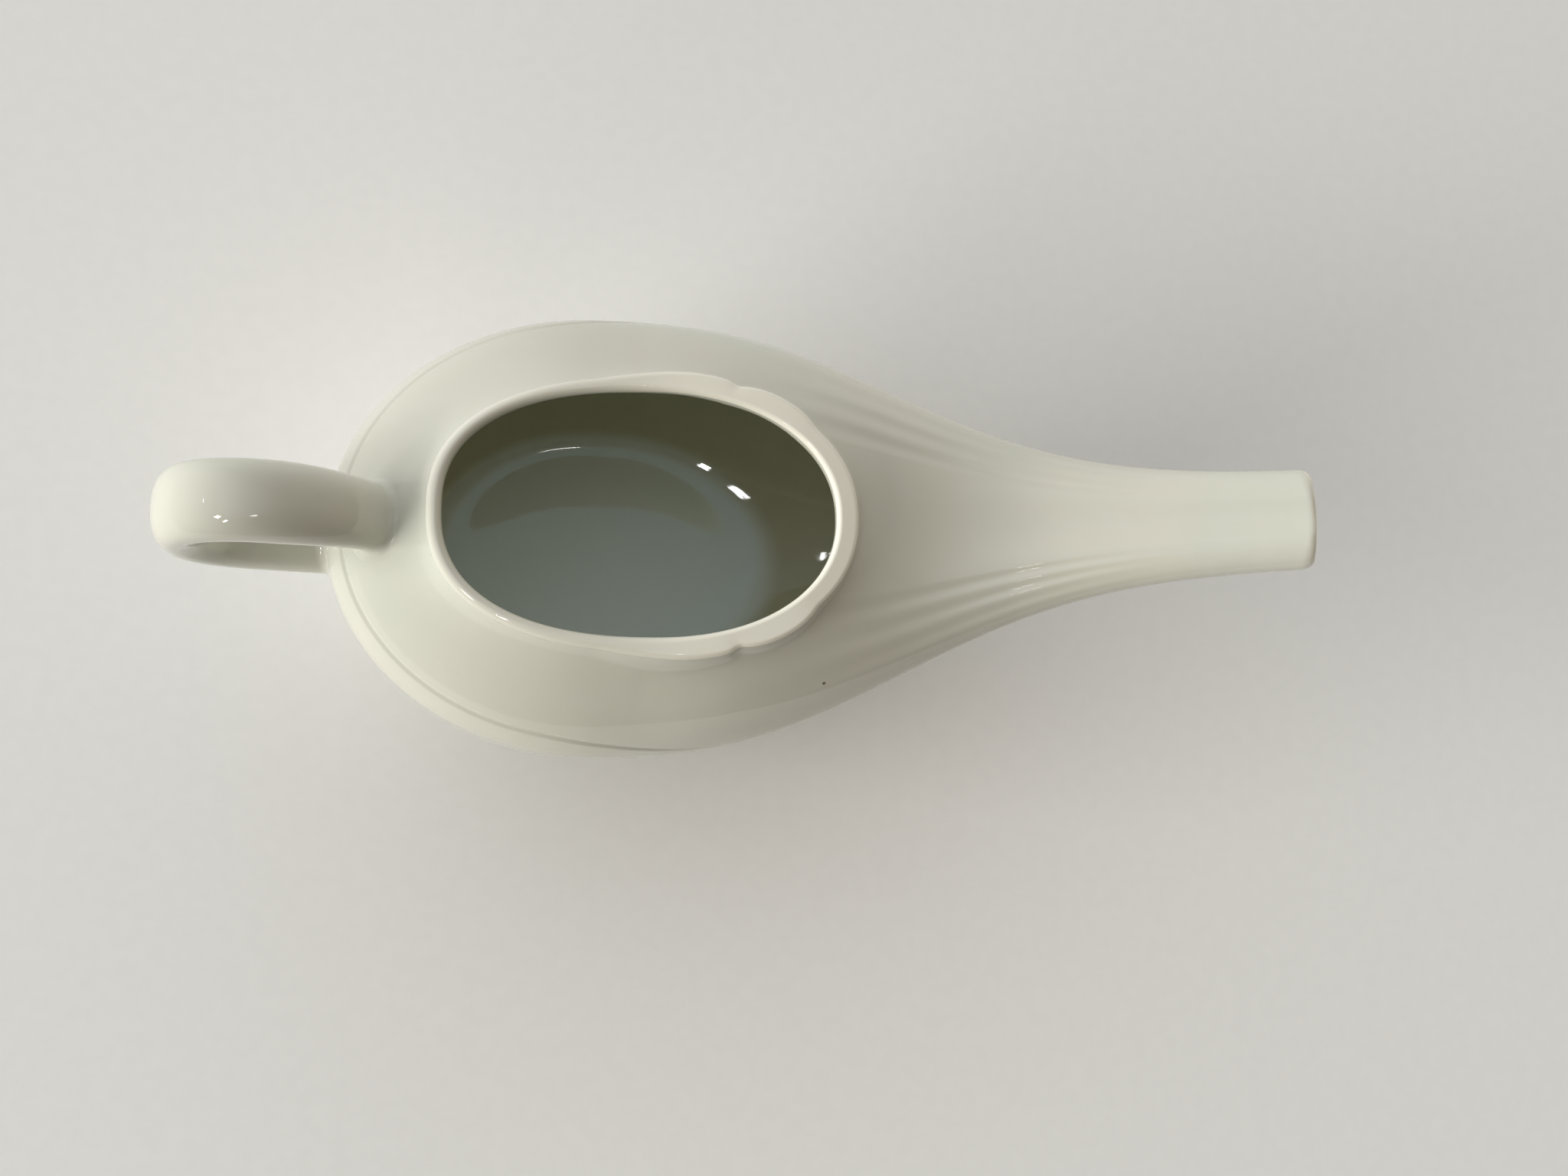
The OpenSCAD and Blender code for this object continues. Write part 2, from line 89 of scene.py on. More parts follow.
# Spout, and how the form of the body fades into it.
ROOT_X = 45.0
TIP_X = 112.0
TIP_RISE = 29.0
TIP_W = 15.6
TIP_TOP = 4.0
TIP_DROP = 6.5
RISE_START = 6.0
RISE_POWER = 1.6
TIP_TILT = math.degrees(math.atan(RISE_POWER * TIP_RISE / (TIP_X - RISE_START)))
PLAN_FADE = (59.7, 2.65)
DOME_FADE = (46.0, 2.0)
HULL_FADE = (78.0, 2.7)
DISH = 0.5
DISH_LEN = 30.0
LIP_WALL = 2.6
LIP_LEN = 3.0
LIP_CORNER = 1.0
LIP_BULGE = 0.5
LIP_X = TIP_X - LIP_LEN * math.cos(math.radians(TIP_TILT))
# Flutes: their places are shares of the way from the middle line out to the belt.
FLUTE_IN = 0.43
FLUTE_PITCH = 0.15
FLUTE_OUT = FLUTE_IN + 3 * FLUTE_PITCH
FLUTE_DEPTH = 0.25
FLUTE_START = (16.0, 42.0)
FLUTE_END = (62.0, 92.0)
CORNER_ANGLE = CUSPS[0] / (FLUTE_IN + 1.5 * FLUTE_PITCH)
WIDE_ANGLE = 98.0
# Handle, with the places of its middle line ahead of the rear of the belt and above the belt.
STRAP_W = 12.2
STRAP_T = 7.5
STRAP_TAPER = 0.14
LOOP_OUT = 20.4
LOOP_TOP = 24.0
UPPER_ROOT = (9.5, DECK_RISE / 2)
UPPER_PULL = ((1.5, LOOP_TOP + 2), (-LOOP_OUT, LOOP_TOP + 7))
LOOP_BACK = (-LOOP_OUT, LOOP_TOP / 2)
LOWER_PULL = ((-LOOP_OUT, -2.0), (-9.5, -1.0))
LOWER_ROOT = (3.5, -6.5)

# Otherwise than in the source: the lobes lie less far below the rim and stand higher on the deck,
# the deck sweeps up to the plain rim too, the glaze fills a share of the flutes' depth and rounds
# the cusps over some degrees, the hull meets the floor in a cove, and the strap is rounder.
LOBE_DROP = 0.3
LOBE_STEP = 1.8
REAR_SWEEP = 2.8
REAR_SWEEP_LEN = 12.0
GLAZE_FILL = 0.3
CUSP_SOFT = 1.8
COVE = 0.55
COVE_DEPTH = 12.0
STRAP_SQUARENESS = 2.3

# How far the foot ring reaches up into the hull.
FOOT_OVERLAP = 0.2

# Fineness of the meshes. The steps of the spout's top run inside, over and outside the flutes, and
# the flank's bend is the share of its steps that end ahead of the second cusp.
FLANK_STEPS = 96
FLANK_BEND = 5 / 16
REAR_STEPS = 96
TOP_STEPS = 24
FLUTE_STEPS = 60
EDGE_STEPS = 12
UNDER_STEPS = 48
BELT_ROWS = 10
TOP_ROWS = 48
DECK_LINING_STEPS = 30
BOWL_LINING_STEPS = 60
HULL_STEPS = 70
SPOUT_STEPS = 120
SPOUT_LINING_STEPS = 60
LIP_STEPS = 26
# Rows of points across the shoulder line's groove, from its middle.
GROOVE_HALF = 0.7
GROOVE_ROWS = np.concatenate([
    np.linspace(-1.3, -0.8, 3), np.linspace(-GROOVE_HALF, GROOVE_HALF, 15), [0.8, 1.05, 1.3]])
# Points of the collar's section: up the inside, round its two edges with the crest between them,
# and down the foot. The throat ends and the outside begins on the round of the inner edge.
UP, INNER_EDGE, ACROSS, OUTER_EDGE, DOWN = 14, 15, 4, 13, 20
THROAT_END = UP + 6
OUTSIDE_FROM = UP + 10
# The collar's foot comes no nearer to the belt than this share of the way out.
NEAR_BELT = 0.95


def mix(a, b, t):
    """The value at the share t of the way from a to b."""
    return a + (b - a) * t


def ease(t):
    """The share t, held between 0 and 1 and soft at both ends."""
    u = np.clip(t, 0, 1)
    return u * u * (3 - 2 * u)


def between(x, span):
    """Eased share of the way through a span."""
    return ease((x - span[0]) / (span[1] - span[0]))


def sind(a):
    return np.sin(np.radians(a))


def cosd(a):
    return np.cos(np.radians(a))


def fade(x, how):
    """A weight that is 1 on the body and falls to 0 along the spout."""
    return np.exp(-((np.maximum(x, 0) / how[0]) ** how[1]))


def belt(x):
    """Height of the belt, which climbs towards the outlet."""
    climb = np.maximum(0, x - RISE_START) / (TIP_X - RISE_START)
    return BELT_Z + TIP_RISE * climb**RISE_POWER


def half_width(x, inset=0.0):
    """Half the breadth at the belt, less the inset."""
    rear = (BODY_W / 2 - inset) * np.sqrt(np.maximum(0, 1 - (x / (REAR_LEN - inset)) ** 2))
    return np.where(x < 0, rear, mix(TIP_W, BODY_W, fade(x, PLAN_FADE)) / 2 - inset)


def reach(x, y, inset=0.0):
    """Share of the way from the middle line out to the belt, at a plan position."""
    rear = np.hypot(x / (REAR_LEN - inset), y / (BODY_W / 2 - inset))
    return np.where(x < 0, rear, np.abs(y) / half_width(np.maximum(x, 0), inset))


def fluting(x, r):
    """Depth of the flutes that the glaze leaves open."""
    wave = (1 - np.cos(2 * np.pi * (r - FLUTE_IN) / FLUTE_PITCH)) / 2
    along = between(x, FLUTE_START) * (1 - between(x, FLUTE_END))
    open_depth = FLUTE_DEPTH * (1 - GLAZE_FILL)
    return np.where((r < FLUTE_IN) | (r > FLUTE_OUT), 0, open_depth * wave * along)


def dishing(x, r):
    """Depth of the shallow hollow along the spout's top."""
    hollow = (1 - np.minimum(1, r / FLUTE_IN) ** 2) ** 2
    return DISH * hollow * ease((x - ROOT_X) / DISH_LEN)


def dome_rise(x):
    """Height of the dome's middle above the belt, without its sweep."""
    return mix(TIP_TOP, DECK_RISE, fade(x, DOME_FADE))


def sweep(x, y):
    """Rise of the dome up to the collar: long at the lobes in front, short at the plain rim."""
    front = MOUTH_X + MOUTH_FRONT + LOBE_T
    full = CREST_Z - LOBE_DROP - LOBE_STEP - belt(front) - dome_rise(front)
    a = np.degrees(np.arctan2(y, x - MOUTH_X))
    ahead = np.maximum(0, np.hypot(x - MOUTH_X, y) - mouth_r(a) - mix(LOBE_T, RIM_T, plain(a)))
    front_part = full * (1 - plain(a)) * np.maximum(0, 1 - ahead / SWEEP_LEN) ** 2
    return front_part + REAR_SWEEP * plain(a) * np.maximum(0, 1 - ahead / REAR_SWEEP_LEN) ** 2


def dome_z(x, y, inset=0.0):
    """Height of the deck or the spout's top, or of its lining."""
    r = reach(x, y, inset)
    p = mix(DOME_POWER[1], DOME_POWER[0], fade(x, DOME_FADE))
    rise = dome_rise(x) + sweep(x, y) - inset
    cut = np.where(np.asarray(inset) > 0, 0, fluting(x, r) + dishing(x, r))
    return belt(x) + rise * np.sqrt(np.maximum(0, 1 - np.minimum(r, 1) ** p)) - cut


def hull_z(x, y, inset=0.0):
    """Height of the hull or the spout's underside, or of its lining."""
    r = reach(x, y, inset)
    b = mix(HULL_POWER[1], HULL_POWER[0], fade(x, HULL_FADE))
    drop = mix(TIP_DROP, HULL_DROP, fade(x, HULL_FADE)) - inset
    return belt(x) - drop * np.maximum(0, 1 - r * r) ** (1 / b)


def mouth_r(a):
    """Plan radius of the mouth about its middle, in the direction a."""
    ahead = cosd(a) > 0
    p = np.where(ahead, MOUTH_POWER[1], MOUTH_POWER[0])
    length = np.where(ahead, MOUTH_FRONT, MOUTH_REAR)
    return ((np.abs(cosd(a)) / length) ** p + (np.abs(sind(a)) / (MOUTH_W / 2)) ** p) ** (-1 / p)


def lobe(u, n):
    """A swell that is 1 in its middle and 0 from its ends on."""
    return 1 - np.minimum(1, np.abs(u)) ** n


def sharp_collar_t(a):
    """Thickness of the collar before the glaze: a front lobe, and two more on each side."""
    t = np.abs(a)
    front = NOTCH[0] + (LOBE_T - NOTCH[0]) * lobe(t / CUSPS[0], LOBE_POWER[0])
    u = (t - CUSPS[0]) / (CUSPS[1] - CUSPS[0])
    second = mix(NOTCH[0], NOTCH[1], u) + SWELL[0] * lobe(2 * u - 1, LOBE_POWER[1])
    v = np.clip((t - CUSPS[1]) / (CUSPS[2] - CUSPS[1]), 0, 1)
    third = mix(NOTCH[1], RIM_T, ease(v)) + SWELL[1] * lobe(2 * v**LOBE_LEAN - 1, LOBE_POWER[2])
    return np.select([t < CUSPS[0], t < CUSPS[1], t < CUSPS[2]], [front, second, third], RIM_T)


def collar_t(a):
    """Thickness of the collar in the direction a, its cusps softened by the glaze."""
    spread = np.linspace(-CUSP_SOFT, CUSP_SOFT, 9)
    turned = np.abs(np.asarray(a)[..., None] + spread)
    return sharp_collar_t(np.where(turned > 180, 360 - turned, turned)).mean(-1)


def plain(a):
    """0 as far as the second cusp, and 1 where the rim is plain."""
    return ease((np.abs(a) - CUSPS[1]) / (CUSPS[2] - CUSPS[1]))


def flare(a):
    """How far the collar's foot reaches out over the deck."""
    front = mix(*FLARE_FRONT, ease(np.abs(a) / CUSPS[1]))
    return mix(front, FLARE_W, plain(a))


def joint_r(a):
    """Plan radius of the collar's foot about the mouth's middle."""
    return mouth_r(a) + collar_t(a) + flare(a)


def from_mouth(a, r):
    """Plan position at a direction and radius from the mouth's middle."""
    return np.stack([MOUTH_X + r * cosd(a), r * sind(a)], -1)


# Rays from the belt inwards, as arrays: kind 0 lies on the cut at the spout's root, where the place
# is the reach; 1 on the flank, where it is x; 2 on the round rear, where it is an angle.
UPPER_REACH = np.concatenate([
    np.linspace(0, FLUTE_IN, TOP_STEPS, endpoint=False),
    np.linspace(FLUTE_IN, FLUTE_OUT, FLUTE_STEPS, endpoint=False),
    np.linspace(FLUTE_OUT, 1, EDGE_STEPS, endpoint=False)])
LOWER_REACH = sind(np.linspace(0, 90, UNDER_STEPS, endpoint=False))


def rays_from(cut_reach):
    """Rays from the cut, one flank and one half of the rear, and then their mirror images."""
    i = np.arange(FLANK_STEPS + 1) / FLANK_STEPS
    near = mix(CORNER_ANGLE, CUSPS[1], i / FLANK_BEND)
    far = mix(CUSPS[1], WIDE_ANGLE, (i - FLANK_BEND) / (1 - FLANK_BEND))
    k = np.arange(1, REAR_STEPS + 1) / REAR_STEPS
    kind = np.repeat([0, 1, 2], [len(cut_reach), len(i), len(k)])
    place = np.concatenate([cut_reach, ROOT_X * (1 - i), 90 * k])
    angle = np.concatenate([CORNER_ANGLE * cut_reach, np.where(i < FLANK_BEND, near, far),
                            mix(WIDE_ANGLE, 180, k)])
    side = np.ones(len(kind))
    back = slice(-2, 0, -1)
    return {"kind": np.concatenate([kind, kind[back]]),
            "place": np.concatenate([place, place[back]]),
            "angle": np.concatenate([angle, -angle[back]]),
            "side": np.concatenate([side, -side[back]])}


DECK_RAYS = rays_from(UPPER_REACH)
BOWL_RAYS = rays_from(LOWER_REACH)


def edge(rays, inset):
    """Plan position where each ray starts: on the belt, or on the cut at the spout's root."""
    kind, place, side = rays["kind"], rays["place"], rays["side"]
    x = np.where(kind == 2, -(REAR_LEN - inset) * sind(place), np.where(kind == 1, place, ROOT_X))
    share = np.where(kind == 0, place, 1)
    y = np.where(kind == 2, (BODY_W / 2 - inset) * cosd(place), share * half_width(x, inset))
    return np.stack([x, side * y], -1)


def even(rays):
    """How evenly a ray is divided: rays from the belt start in fine steps."""
    return np.where(rays["kind"] == 0, 1 - rays["place"] ** 4, 0)[:, None]


def along(rays, e, j, s, inset):
    """Plan points at the shares s of the rays from e to j. Ahead of the widest station a ray is
    straight in terms of the reach, so that it runs with the flutes."""
    x = mix(e[:, 0:1], j[:, 0:1], s)
    r = mix(reach(*e.T, inset)[:, None], reach(*j.T, inset)[:, None], s)
    y = np.where(rays["kind"][:, None] == 2, mix(e[:, 1:2], j[:, 1:2], s),
                 rays["side"][:, None] * r * half_width(x, inset))
    return x, y


def line_lat(x):
    """Angle of the shoulder line up the dome."""
    return mix(LINE_ANGLE, LINE_END, between(x, LINE_FALL))


def line_fade(x):
    """1 where the shoulder line is full, and 0 where it has died out."""
    return 1 - between(x, LINE_SPAN)


def stack(x, y, z):
    return np.stack(np.broadcast_arrays(x, y, z), -1)


def deck_outer(rays):
    """Points of the deck's outside, with the shoulder line's groove cut in."""
    e = edge(rays, 0)
    j = from_mouth(rays["angle"], joint_r(rays["angle"]))
    end = np.minimum(NEAR_BELT, reach(*j.T))[:, None]
    lat = line_lat(e[:, 0])[:, None]
    degree = np.degrees(1 / DECK_RISE)
    low = (lat + GROOVE_ROWS[0] * degree) * np.linspace(0, 1, BELT_ROWS, endpoint=False)
    groove = lat + GROOVE_ROWS * degree
    top = mix(cosd(groove[:, -1:]), end, np.linspace(0, 1, TOP_ROWS + 1)[1:])
    reaches = np.concatenate([cosd(low), cosd(groove), top], 1)
    i = np.linspace(0, 1, reaches.shape[1])
    s = mix((1 - reaches) / (1 - end), i, even(rays))
    x, y = along(rays, e, j, s, 0)
    inward = (j - e) / np.linalg.norm(j - e, axis=1, keepdims=True)
    profile = np.zeros(reaches.shape[1])
    profile[BELT_ROWS:BELT_ROWS + len(GROOVE_ROWS)] = np.where(
        np.abs(GROOVE_ROWS) < GROOVE_HALF, (1 + np.cos(np.pi * GROOVE_ROWS / GROOVE_HALF)) / 2, 0)
    cut = LINE_DEPTH * profile * line_fade(e[:, 0:1]) * (rays["kind"][:, None] > 0)
    return stack(x + inward[:, 0:1] * cut * cosd(lat), y + inward[:, 1:2] * cut * cosd(lat),
                 dome_z(x, y) - cut * sind(lat))


def deck_inner(rays):
    """Points of the deck's lining, from the collar's foot to the belt."""
    e = edge(rays, WALL)
    j = from_mouth(rays["angle"], joint_r(rays["angle"]) - JOINT_LEAN * WALL)
    end = np.degrees(np.arccos(np.minimum(NEAR_BELT, reach(*j.T, WALL))))[:, None]
    i = np.linspace(1, 0, DECK_LINING_STEPS + 1)
    s = mix((1 - cosd(end * i)) / (1 - cosd(end)), i, even(rays))
    x, y = along(rays, e, j, s, WALL)
    return stack(x, y, dome_z(x, y, WALL))


def bend(a, b, c, t):
    """A curve from a to c, pulled towards b."""
    return mix(mix(a, b, t), mix(b, c, t), t)


def dome_slope(a, r, inset):
    """How steeply the dome climbs outwards from the mouth."""
    step = 0.5
    p, q = from_mouth(a, r), from_mouth(a, r + step)
    return (dome_z(*q.T, inset) - dome_z(*p.T, inset)) / step


def collar_section(a):
    """Outline of the collar's section in each direction: up the inside from the dome's inner face,
    over the rounded rim, and down the foot that sweeps out over the dome."""
    ri = mouth_r(a)
    ro = ri + collar_t(a)
    rj = joint_r(a)
    rk = rj - JOINT_LEAN * WALL
    zj = dome_z(*from_mouth(a, rj).T)
    zk = dome_z(*from_mouth(a, rk).T, WALL)
    outer_r = mix(LOBE_R[0], RIM_T / 2, plain(a))
    rim_r = mix(LOBE_R[1], RIM_T / 2, plain(a))
    edge_z = CREST_Z - LOBE_DROP * (1 - plain(a))
    inside = np.stack([ri, zk - dome_slope(a, rk, WALL) * (rk - ri)], -1)
    outside = np.stack([ro, zj - dome_slope(a, rj, 0) * (rj - ro)], -1)
    c1 = np.stack([ri + rim_r, CREST_Z - rim_r], -1)
    c2 = np.stack([ro - outer_r, edge_z - outer_r], -1)
    d = c2 - c1
    gap = np.maximum(np.hypot(*d.T), 1e-6)
    lean = np.arccos(np.clip((rim_r - outer_r) / gap, -1, 1))
    turn = np.degrees(np.arctan2(d[:, 1], d[:, 0]) + lean)
    turn = np.where(np.hypot(*d.T) < 1e-4, 90, turn)

    def arc(c, r, start, stop, count):
        g = mix(start[:, None], stop[:, None], np.linspace(0, 1, count))
        spokes = np.stack([cosd(g), sind(g)], -1)
        return c[:, None] + np.broadcast_to(r, g.shape[:1])[:, None, None] * spokes

    flat = np.full_like(ri, 180.0)
    first = arc(c1, rim_r, flat, turn, INNER_EDGE)
    last = arc(c2, outer_r, turn, flat * 0, OUTER_EDGE)
    t = np.linspace(0, 1, UP + 1)[:-1, None]
    up = bend(np.stack([rk, zk], -1)[:, None], inside[:, None], first[:, :1], t)
    t = np.linspace(0, 1, DOWN + 1)[1:, None]
    down = bend(last[:, -1:], outside[:, None], np.stack([rj, zj], -1)[:, None], t)
    t = np.linspace(0, 1, ACROSS + 2)[1:-1, None]
    crest = mix(first[:, -1:], last[:, :1], t)
    return np.concatenate([up, first, crest, last, down], 1)


def collar_points(rays):
    """Points of the collar, its section set out round the mouth."""
    section = collar_section(rays["angle"])
    a = rays["angle"][:, None]
    return stack(MOUTH_X + section[..., 0] * cosd(a), section[..., 0] * sind(a), section[..., 1])


def landing(e, h):
    """Share of the way from the plan points e to the middle at which the hull is down at height h,
    found by halving."""
    halvings = 30
    low, high = np.zeros(len(e)), np.ones(len(e))
    for _ in range(halvings):
        s = (low + high) / 2
        above = hull_z(*(e * (1 - s)[:, None]).T) > h
        low, high = np.where(above, s, low), np.where(above, high, s)
    return (low + high) / 2


def soft_floor(z, floor, blend):
    """The higher of the hull and the floor, with a cove of that size between them."""
    return floor + (z - floor) / 2 + np.sqrt(((z - floor) / 2) ** 2 + blend * blend)


def hull_run(rays, inset, height, steps):
    """Points of each ray from the belt to the middle of the floor, evenly spaced. The ray is first
    measured at shares that lie closest together at the belt, where the hull is steep."""
    steep_shares, plain_shares, short_of_end = 600, 200, 0.999
    e = edge(rays, inset)
    q = np.linspace(0, 1, steep_shares) ** 2
    tight = 1 - np.sqrt(1 - (q * short_of_end) ** HULL_POWER[0])
    s = np.sort(np.concatenate([tight, np.linspace(0, 1, plain_shares)[1:-1]]))[None]
    x, y = e[:, 0:1] * (1 - s), e[:, 1:2] * (1 - s)
    z = height(x, y)
    length = np.cumsum(np.sqrt(np.diff(x) ** 2 + np.diff(y) ** 2 + np.diff(z) ** 2), 1)
    length = np.concatenate([np.zeros((len(e), 1)), length], 1)
    goal = np.linspace(0, 1, steps + 1)[:-1]
    pick = np.stack([np.interp(goal * row[-1], row, s[0]) for row in length])
    x, y = e[:, 0:1] * (1 - pick), e[:, 1:2] * (1 - pick)
    z = height(x, y)
    z[:, 0] = hull_z(x[:, 0], y[:, 0], inset)
    return stack(x, y, z)


def inner_height(x, y):
    """Height of the bowl's lining, with the cove round its floor."""
    z = hull_z(x, y, WALL)
    return soft_floor(z, FLOOR_Z, COVE * ease((BELT_Z - z) / COVE_DEPTH))


def outer_height(x, y):
    """Height of the bowl's outside, flat inside the foot ring."""
    return np.maximum(hull_z(x, y, 0), FOOT_H)


def spout_round():
    """Reach, side and level of the points round the spout, from its top on."""
    r = np.concatenate([UPPER_REACH, [1.0], LOWER_REACH[::-1]])
    level = np.concatenate([np.ones(len(UPPER_REACH) + 1), -np.ones(len(LOWER_REACH))])
    back = slice(-2, 0, -1)
    side = np.ones(len(r))
    return (np.concatenate([r, r[back]]), np.concatenate([side, -side[back]]),
            np.concatenate([level, level[back]]))


SPOUT_ROUND = spout_round()


def spout_points(x0, inner):
    """Points of the spout's skin on the tilted cuts through the middle line at the stations x0. A
    cut leans with the height of its points, so their places are found in rounds."""
    rounds = 10
    r, side, level = (v[:, None] for v in SPOUT_ROUND)
    x0 = np.asarray(x0)[None]
    along_spout = np.clip((x0 - ROOT_X) / (TIP_X - ROOT_X), 0, 1)
    tilt = np.radians(TIP_TILT * ease(along_spout))
    inset = mix(WALL, LIP_WALL, along_spout) * (1.0 if inner else 0.0)
    x = x0 + 0 * r
    for _ in range(rounds):
        y = r * side * half_width(x, inset)
        z = np.where(level > 0, dome_z(x, y, inset), hull_z(x, y, inset))
        x, last = x0 - (z - belt(x0)) * np.tan(tilt), x
    return stack(last, y, z)


def lip_points():
    """Points of the drinking end: from the bore's edge round the bead to the spout's outside."""
    o, i = spout_points([LIP_X], False)[:, 0], spout_points([LIP_X], True)[:, 0]
    ahead = np.array([cosd(TIP_TILT), 0, sind(TIP_TILT)])
    side = (o[:, 1] / half_width(np.array([LIP_X]))) ** 2
    bead = LIP_WALL / 2 + LIP_CORNER * side
    straight = LIP_LEN - bead - LIP_BULGE * side
    rows = [i]
    for t in np.linspace(180, 0, LIP_STEPS):
        push = straight + bead * sind(t)
        rows.append((o + i) / 2 + (o - i) / 2 * cosd(t) + push[:, None] * ahead)
    return np.stack(rows + [o], 1)


class Skin:
    """A closed surface through a grid of points, grid[round, along]. The rows named in joints hide
    in a joint, outside is the span of rows that other pieces may be luted to, and tips are the
    poles that close the two ends. The points carry shares of painted colour: a painted bluish
    reflection and lighter tone on the floor, painted light on the collar's crest alongside the
    glaze running thinner on the lip, and painted shade on the inner walls."""

    def __init__(self, grid, joints=(), outside=(0, 0), turned=False, tips=None,
                 floor_reflection=0.0, thin_glaze_and_crest_light=0.0, inner=0.0):
        n, m = grid.shape[:2]
        self.points = grid.reshape(-1, 3)
        self.glaze = {label: np.broadcast_to(value, (n, m)).reshape(-1)
                      for label, value in (("floor_reflection", floor_reflection), ("thin_glaze_and_crest_light", thin_glaze_and_crest_light), ("inner", inner))}
        k = np.arange(n)[:, None]
        j = np.arange(m - 1 if tips is not None else m)[None]
        quad = np.stack(np.broadcast_arrays(
            k * m + j, k * m + (j + 1) % m, (k + 1) % n * m + (j + 1) % m, (k + 1) % n * m + j), -1)
        hidden = np.zeros(quad.shape[:2], bool)
        hidden[:, list(joints)] = True
        self.faces = [list(f) for f in quad.reshape(-1, 4)]
        self.hidden = list(hidden.reshape(-1))
        row = list(np.broadcast_to(j, quad.shape[:2]).reshape(-1))
        if tips is not None:
            self.points = np.concatenate([self.points, tips])
            self.glaze = {label: np.append(value.reshape(n, m), value.reshape(n, m)[:1, [0, -1]])
                          for label, value in self.glaze.items()}
            for a in range(n):
                b = (a + 1) % n
                self.faces.append([a * m, b * m, n * m])
                self.faces.append([b * m + m - 1, a * m + m - 1, n * m + 1])
                self.hidden += [False, False]
                row += [-1, m]
        if not turned:
            self.faces = [f[::-1] for f in self.faces]
        self.hidden = np.array(self.hidden)
        row = np.array(row)
        self.outside = ~self.hidden & (row >= outside[0]) & (row < outside[1])


def corner_normals(skin):
    """Face normals, long where a face is large."""
    p = skin.points
    a, b, c = np.array([f[:3] for f in skin.faces]).T
    d = np.array([f[-1] for f in skin.faces])
    fourth = np.where((d != c)[:, None], np.cross(p[c] - p[a], p[d] - p[a]), 0)
    return np.cross(p[b] - p[a], p[c] - p[a]) + fourth


def shared_normals(skins):
    """One smooth normal for each point of the vessel's surface, shared by the pieces that meet in
    it, so that a joint between two pieces doesn't show in the gloss. A face in a joint keeps its
    own."""
    def unit(v):
        return v / np.maximum(np.linalg.norm(v, axis=1, keepdims=True), 1e-12)

    points = np.concatenate([s.points for s in skins])
    _, place = np.unique(np.round(points, 4), axis=0, return_inverse=True)
    place = place.reshape(-1)
    total = np.zeros((place.max() + 1, 3))
    start = 0
    for s in skins:
        for f, n, hidden in zip(s.faces, corner_normals(s), s.hidden):
            if not hidden:
                for v in f:
                    total[place[start + v]] += n
        start += len(s.points)
    total = unit(total)
    start, out = 0, []
    for s in skins:
        mine = total[place[start:start + len(s.points)]]
        own = unit(corner_normals(s))
        out.append([tuple(own[i]) if s.hidden[i] else tuple(mine[v])
                    for i, f in enumerate(s.faces) for v in f])
        start += len(s.points)
    return out


def link(name, data):
    """A new object for the data, in the scene."""
    made = bpy.data.objects.new(name, data)
    bpy.context.scene.collection.objects.link(made)
    return made


def mesh_from(name, skin, normals):
    """A skin made into an object, in metres, with the normals that it shares."""
    mesh = bpy.data.meshes.new(name)
    mesh.from_pydata((skin.points * MM).tolist(), [], skin.faces)
    mesh.update()
    mesh.polygons.foreach_set("use_smooth", np.ones(len(mesh.polygons), bool))
    mesh.normals_split_custom_set(normals)
    for label, value in skin.glaze.items():
        mesh.attributes.new(label, "FLOAT", "POINT").data.foreach_set(
            "value", np.ascontiguousarray(value, np.float32))
    return link(name, mesh)


def per_point(*sheets):
    """One value for each point of a skin made of sheets, each given as (points, value)."""
    return np.concatenate([np.broadcast_to(value, points.shape[:2]) for points, value in sheets], 1)


def two_sheets(outer, inner, **options):
    """A skin along the outside and back along the inside, with both its ends in joints."""
    count, whole = outer.shape[1], outer.shape[1] + inner.shape[1]
    # The inside sheet takes the painted shade of the inner walls.
    return Skin(np.concatenate([outer, inner], 1), joints=(count - 1, whole - 1),
                inner=per_point((outer, 0.0), (inner, 1.0)), **options)


def collar_skin():
    """The collar, with painted light on the crest and most of all on the lobes, and painted shade
    down its throat.
    """
    crest_depth, crest_soft, crest_on_plain = 1.4, 1.2, 0.45
    throat_depth, throat_soft = 1, 3
    section = collar_points(DECK_RAYS)
    # Painted light: the crest is lightened, most of all on the lobes and less on the plain rim.
    z = section[..., 2]
    crest = ease((z - CREST_Z + crest_depth) / crest_soft)
    crest = crest * mix(1, crest_on_plain, plain(DECK_RAYS["angle"]))[:, None]
    # Painted shade: the throat below the crest takes the darker tone of the inner walls.
    throat = ease((CREST_Z - throat_depth - z) / throat_soft)
    throat = throat * (np.arange(section.shape[1]) < THROAT_END)
    return Skin(section, joints=(section.shape[1] - 1,), outside=(OUTSIDE_FROM, math.inf),
                turned=True, thin_glaze_and_crest_light=crest, inner=throat)


def bowl_skin():
    """The bowl, with a painted bluish reflection on its floor and painted shade on its lining."""
    floor_reflection_depth = 3
    lining = hull_run(BOWL_RAYS, WALL, inner_height, BOWL_LINING_STEPS)[:, ::-1]
    hull = hull_run(BOWL_RAYS, 0, outer_height, HULL_STEPS)
    count = lining.shape[1]
    middle = [[0, 0, float(inner_height(np.zeros(1), np.zeros(1))[0])], [0, 0, FOOT_H]]
    # Painted reflection: the floor and the foot of its cove get a lighter, bluish tone.
    on_floor = ease((FLOOR_Z + floor_reflection_depth - lining[..., 2]) / floor_reflection_depth)
    return Skin(np.concatenate([lining, hull], 1), joints=(count - 1,),
                outside=(count + 1, math.inf), turned=True, tips=np.array(middle),
                floor_reflection=per_point((lining, on_floor), (hull, 0.0)),
                inner=per_point((lining, 1.0), (hull, 0.0)))


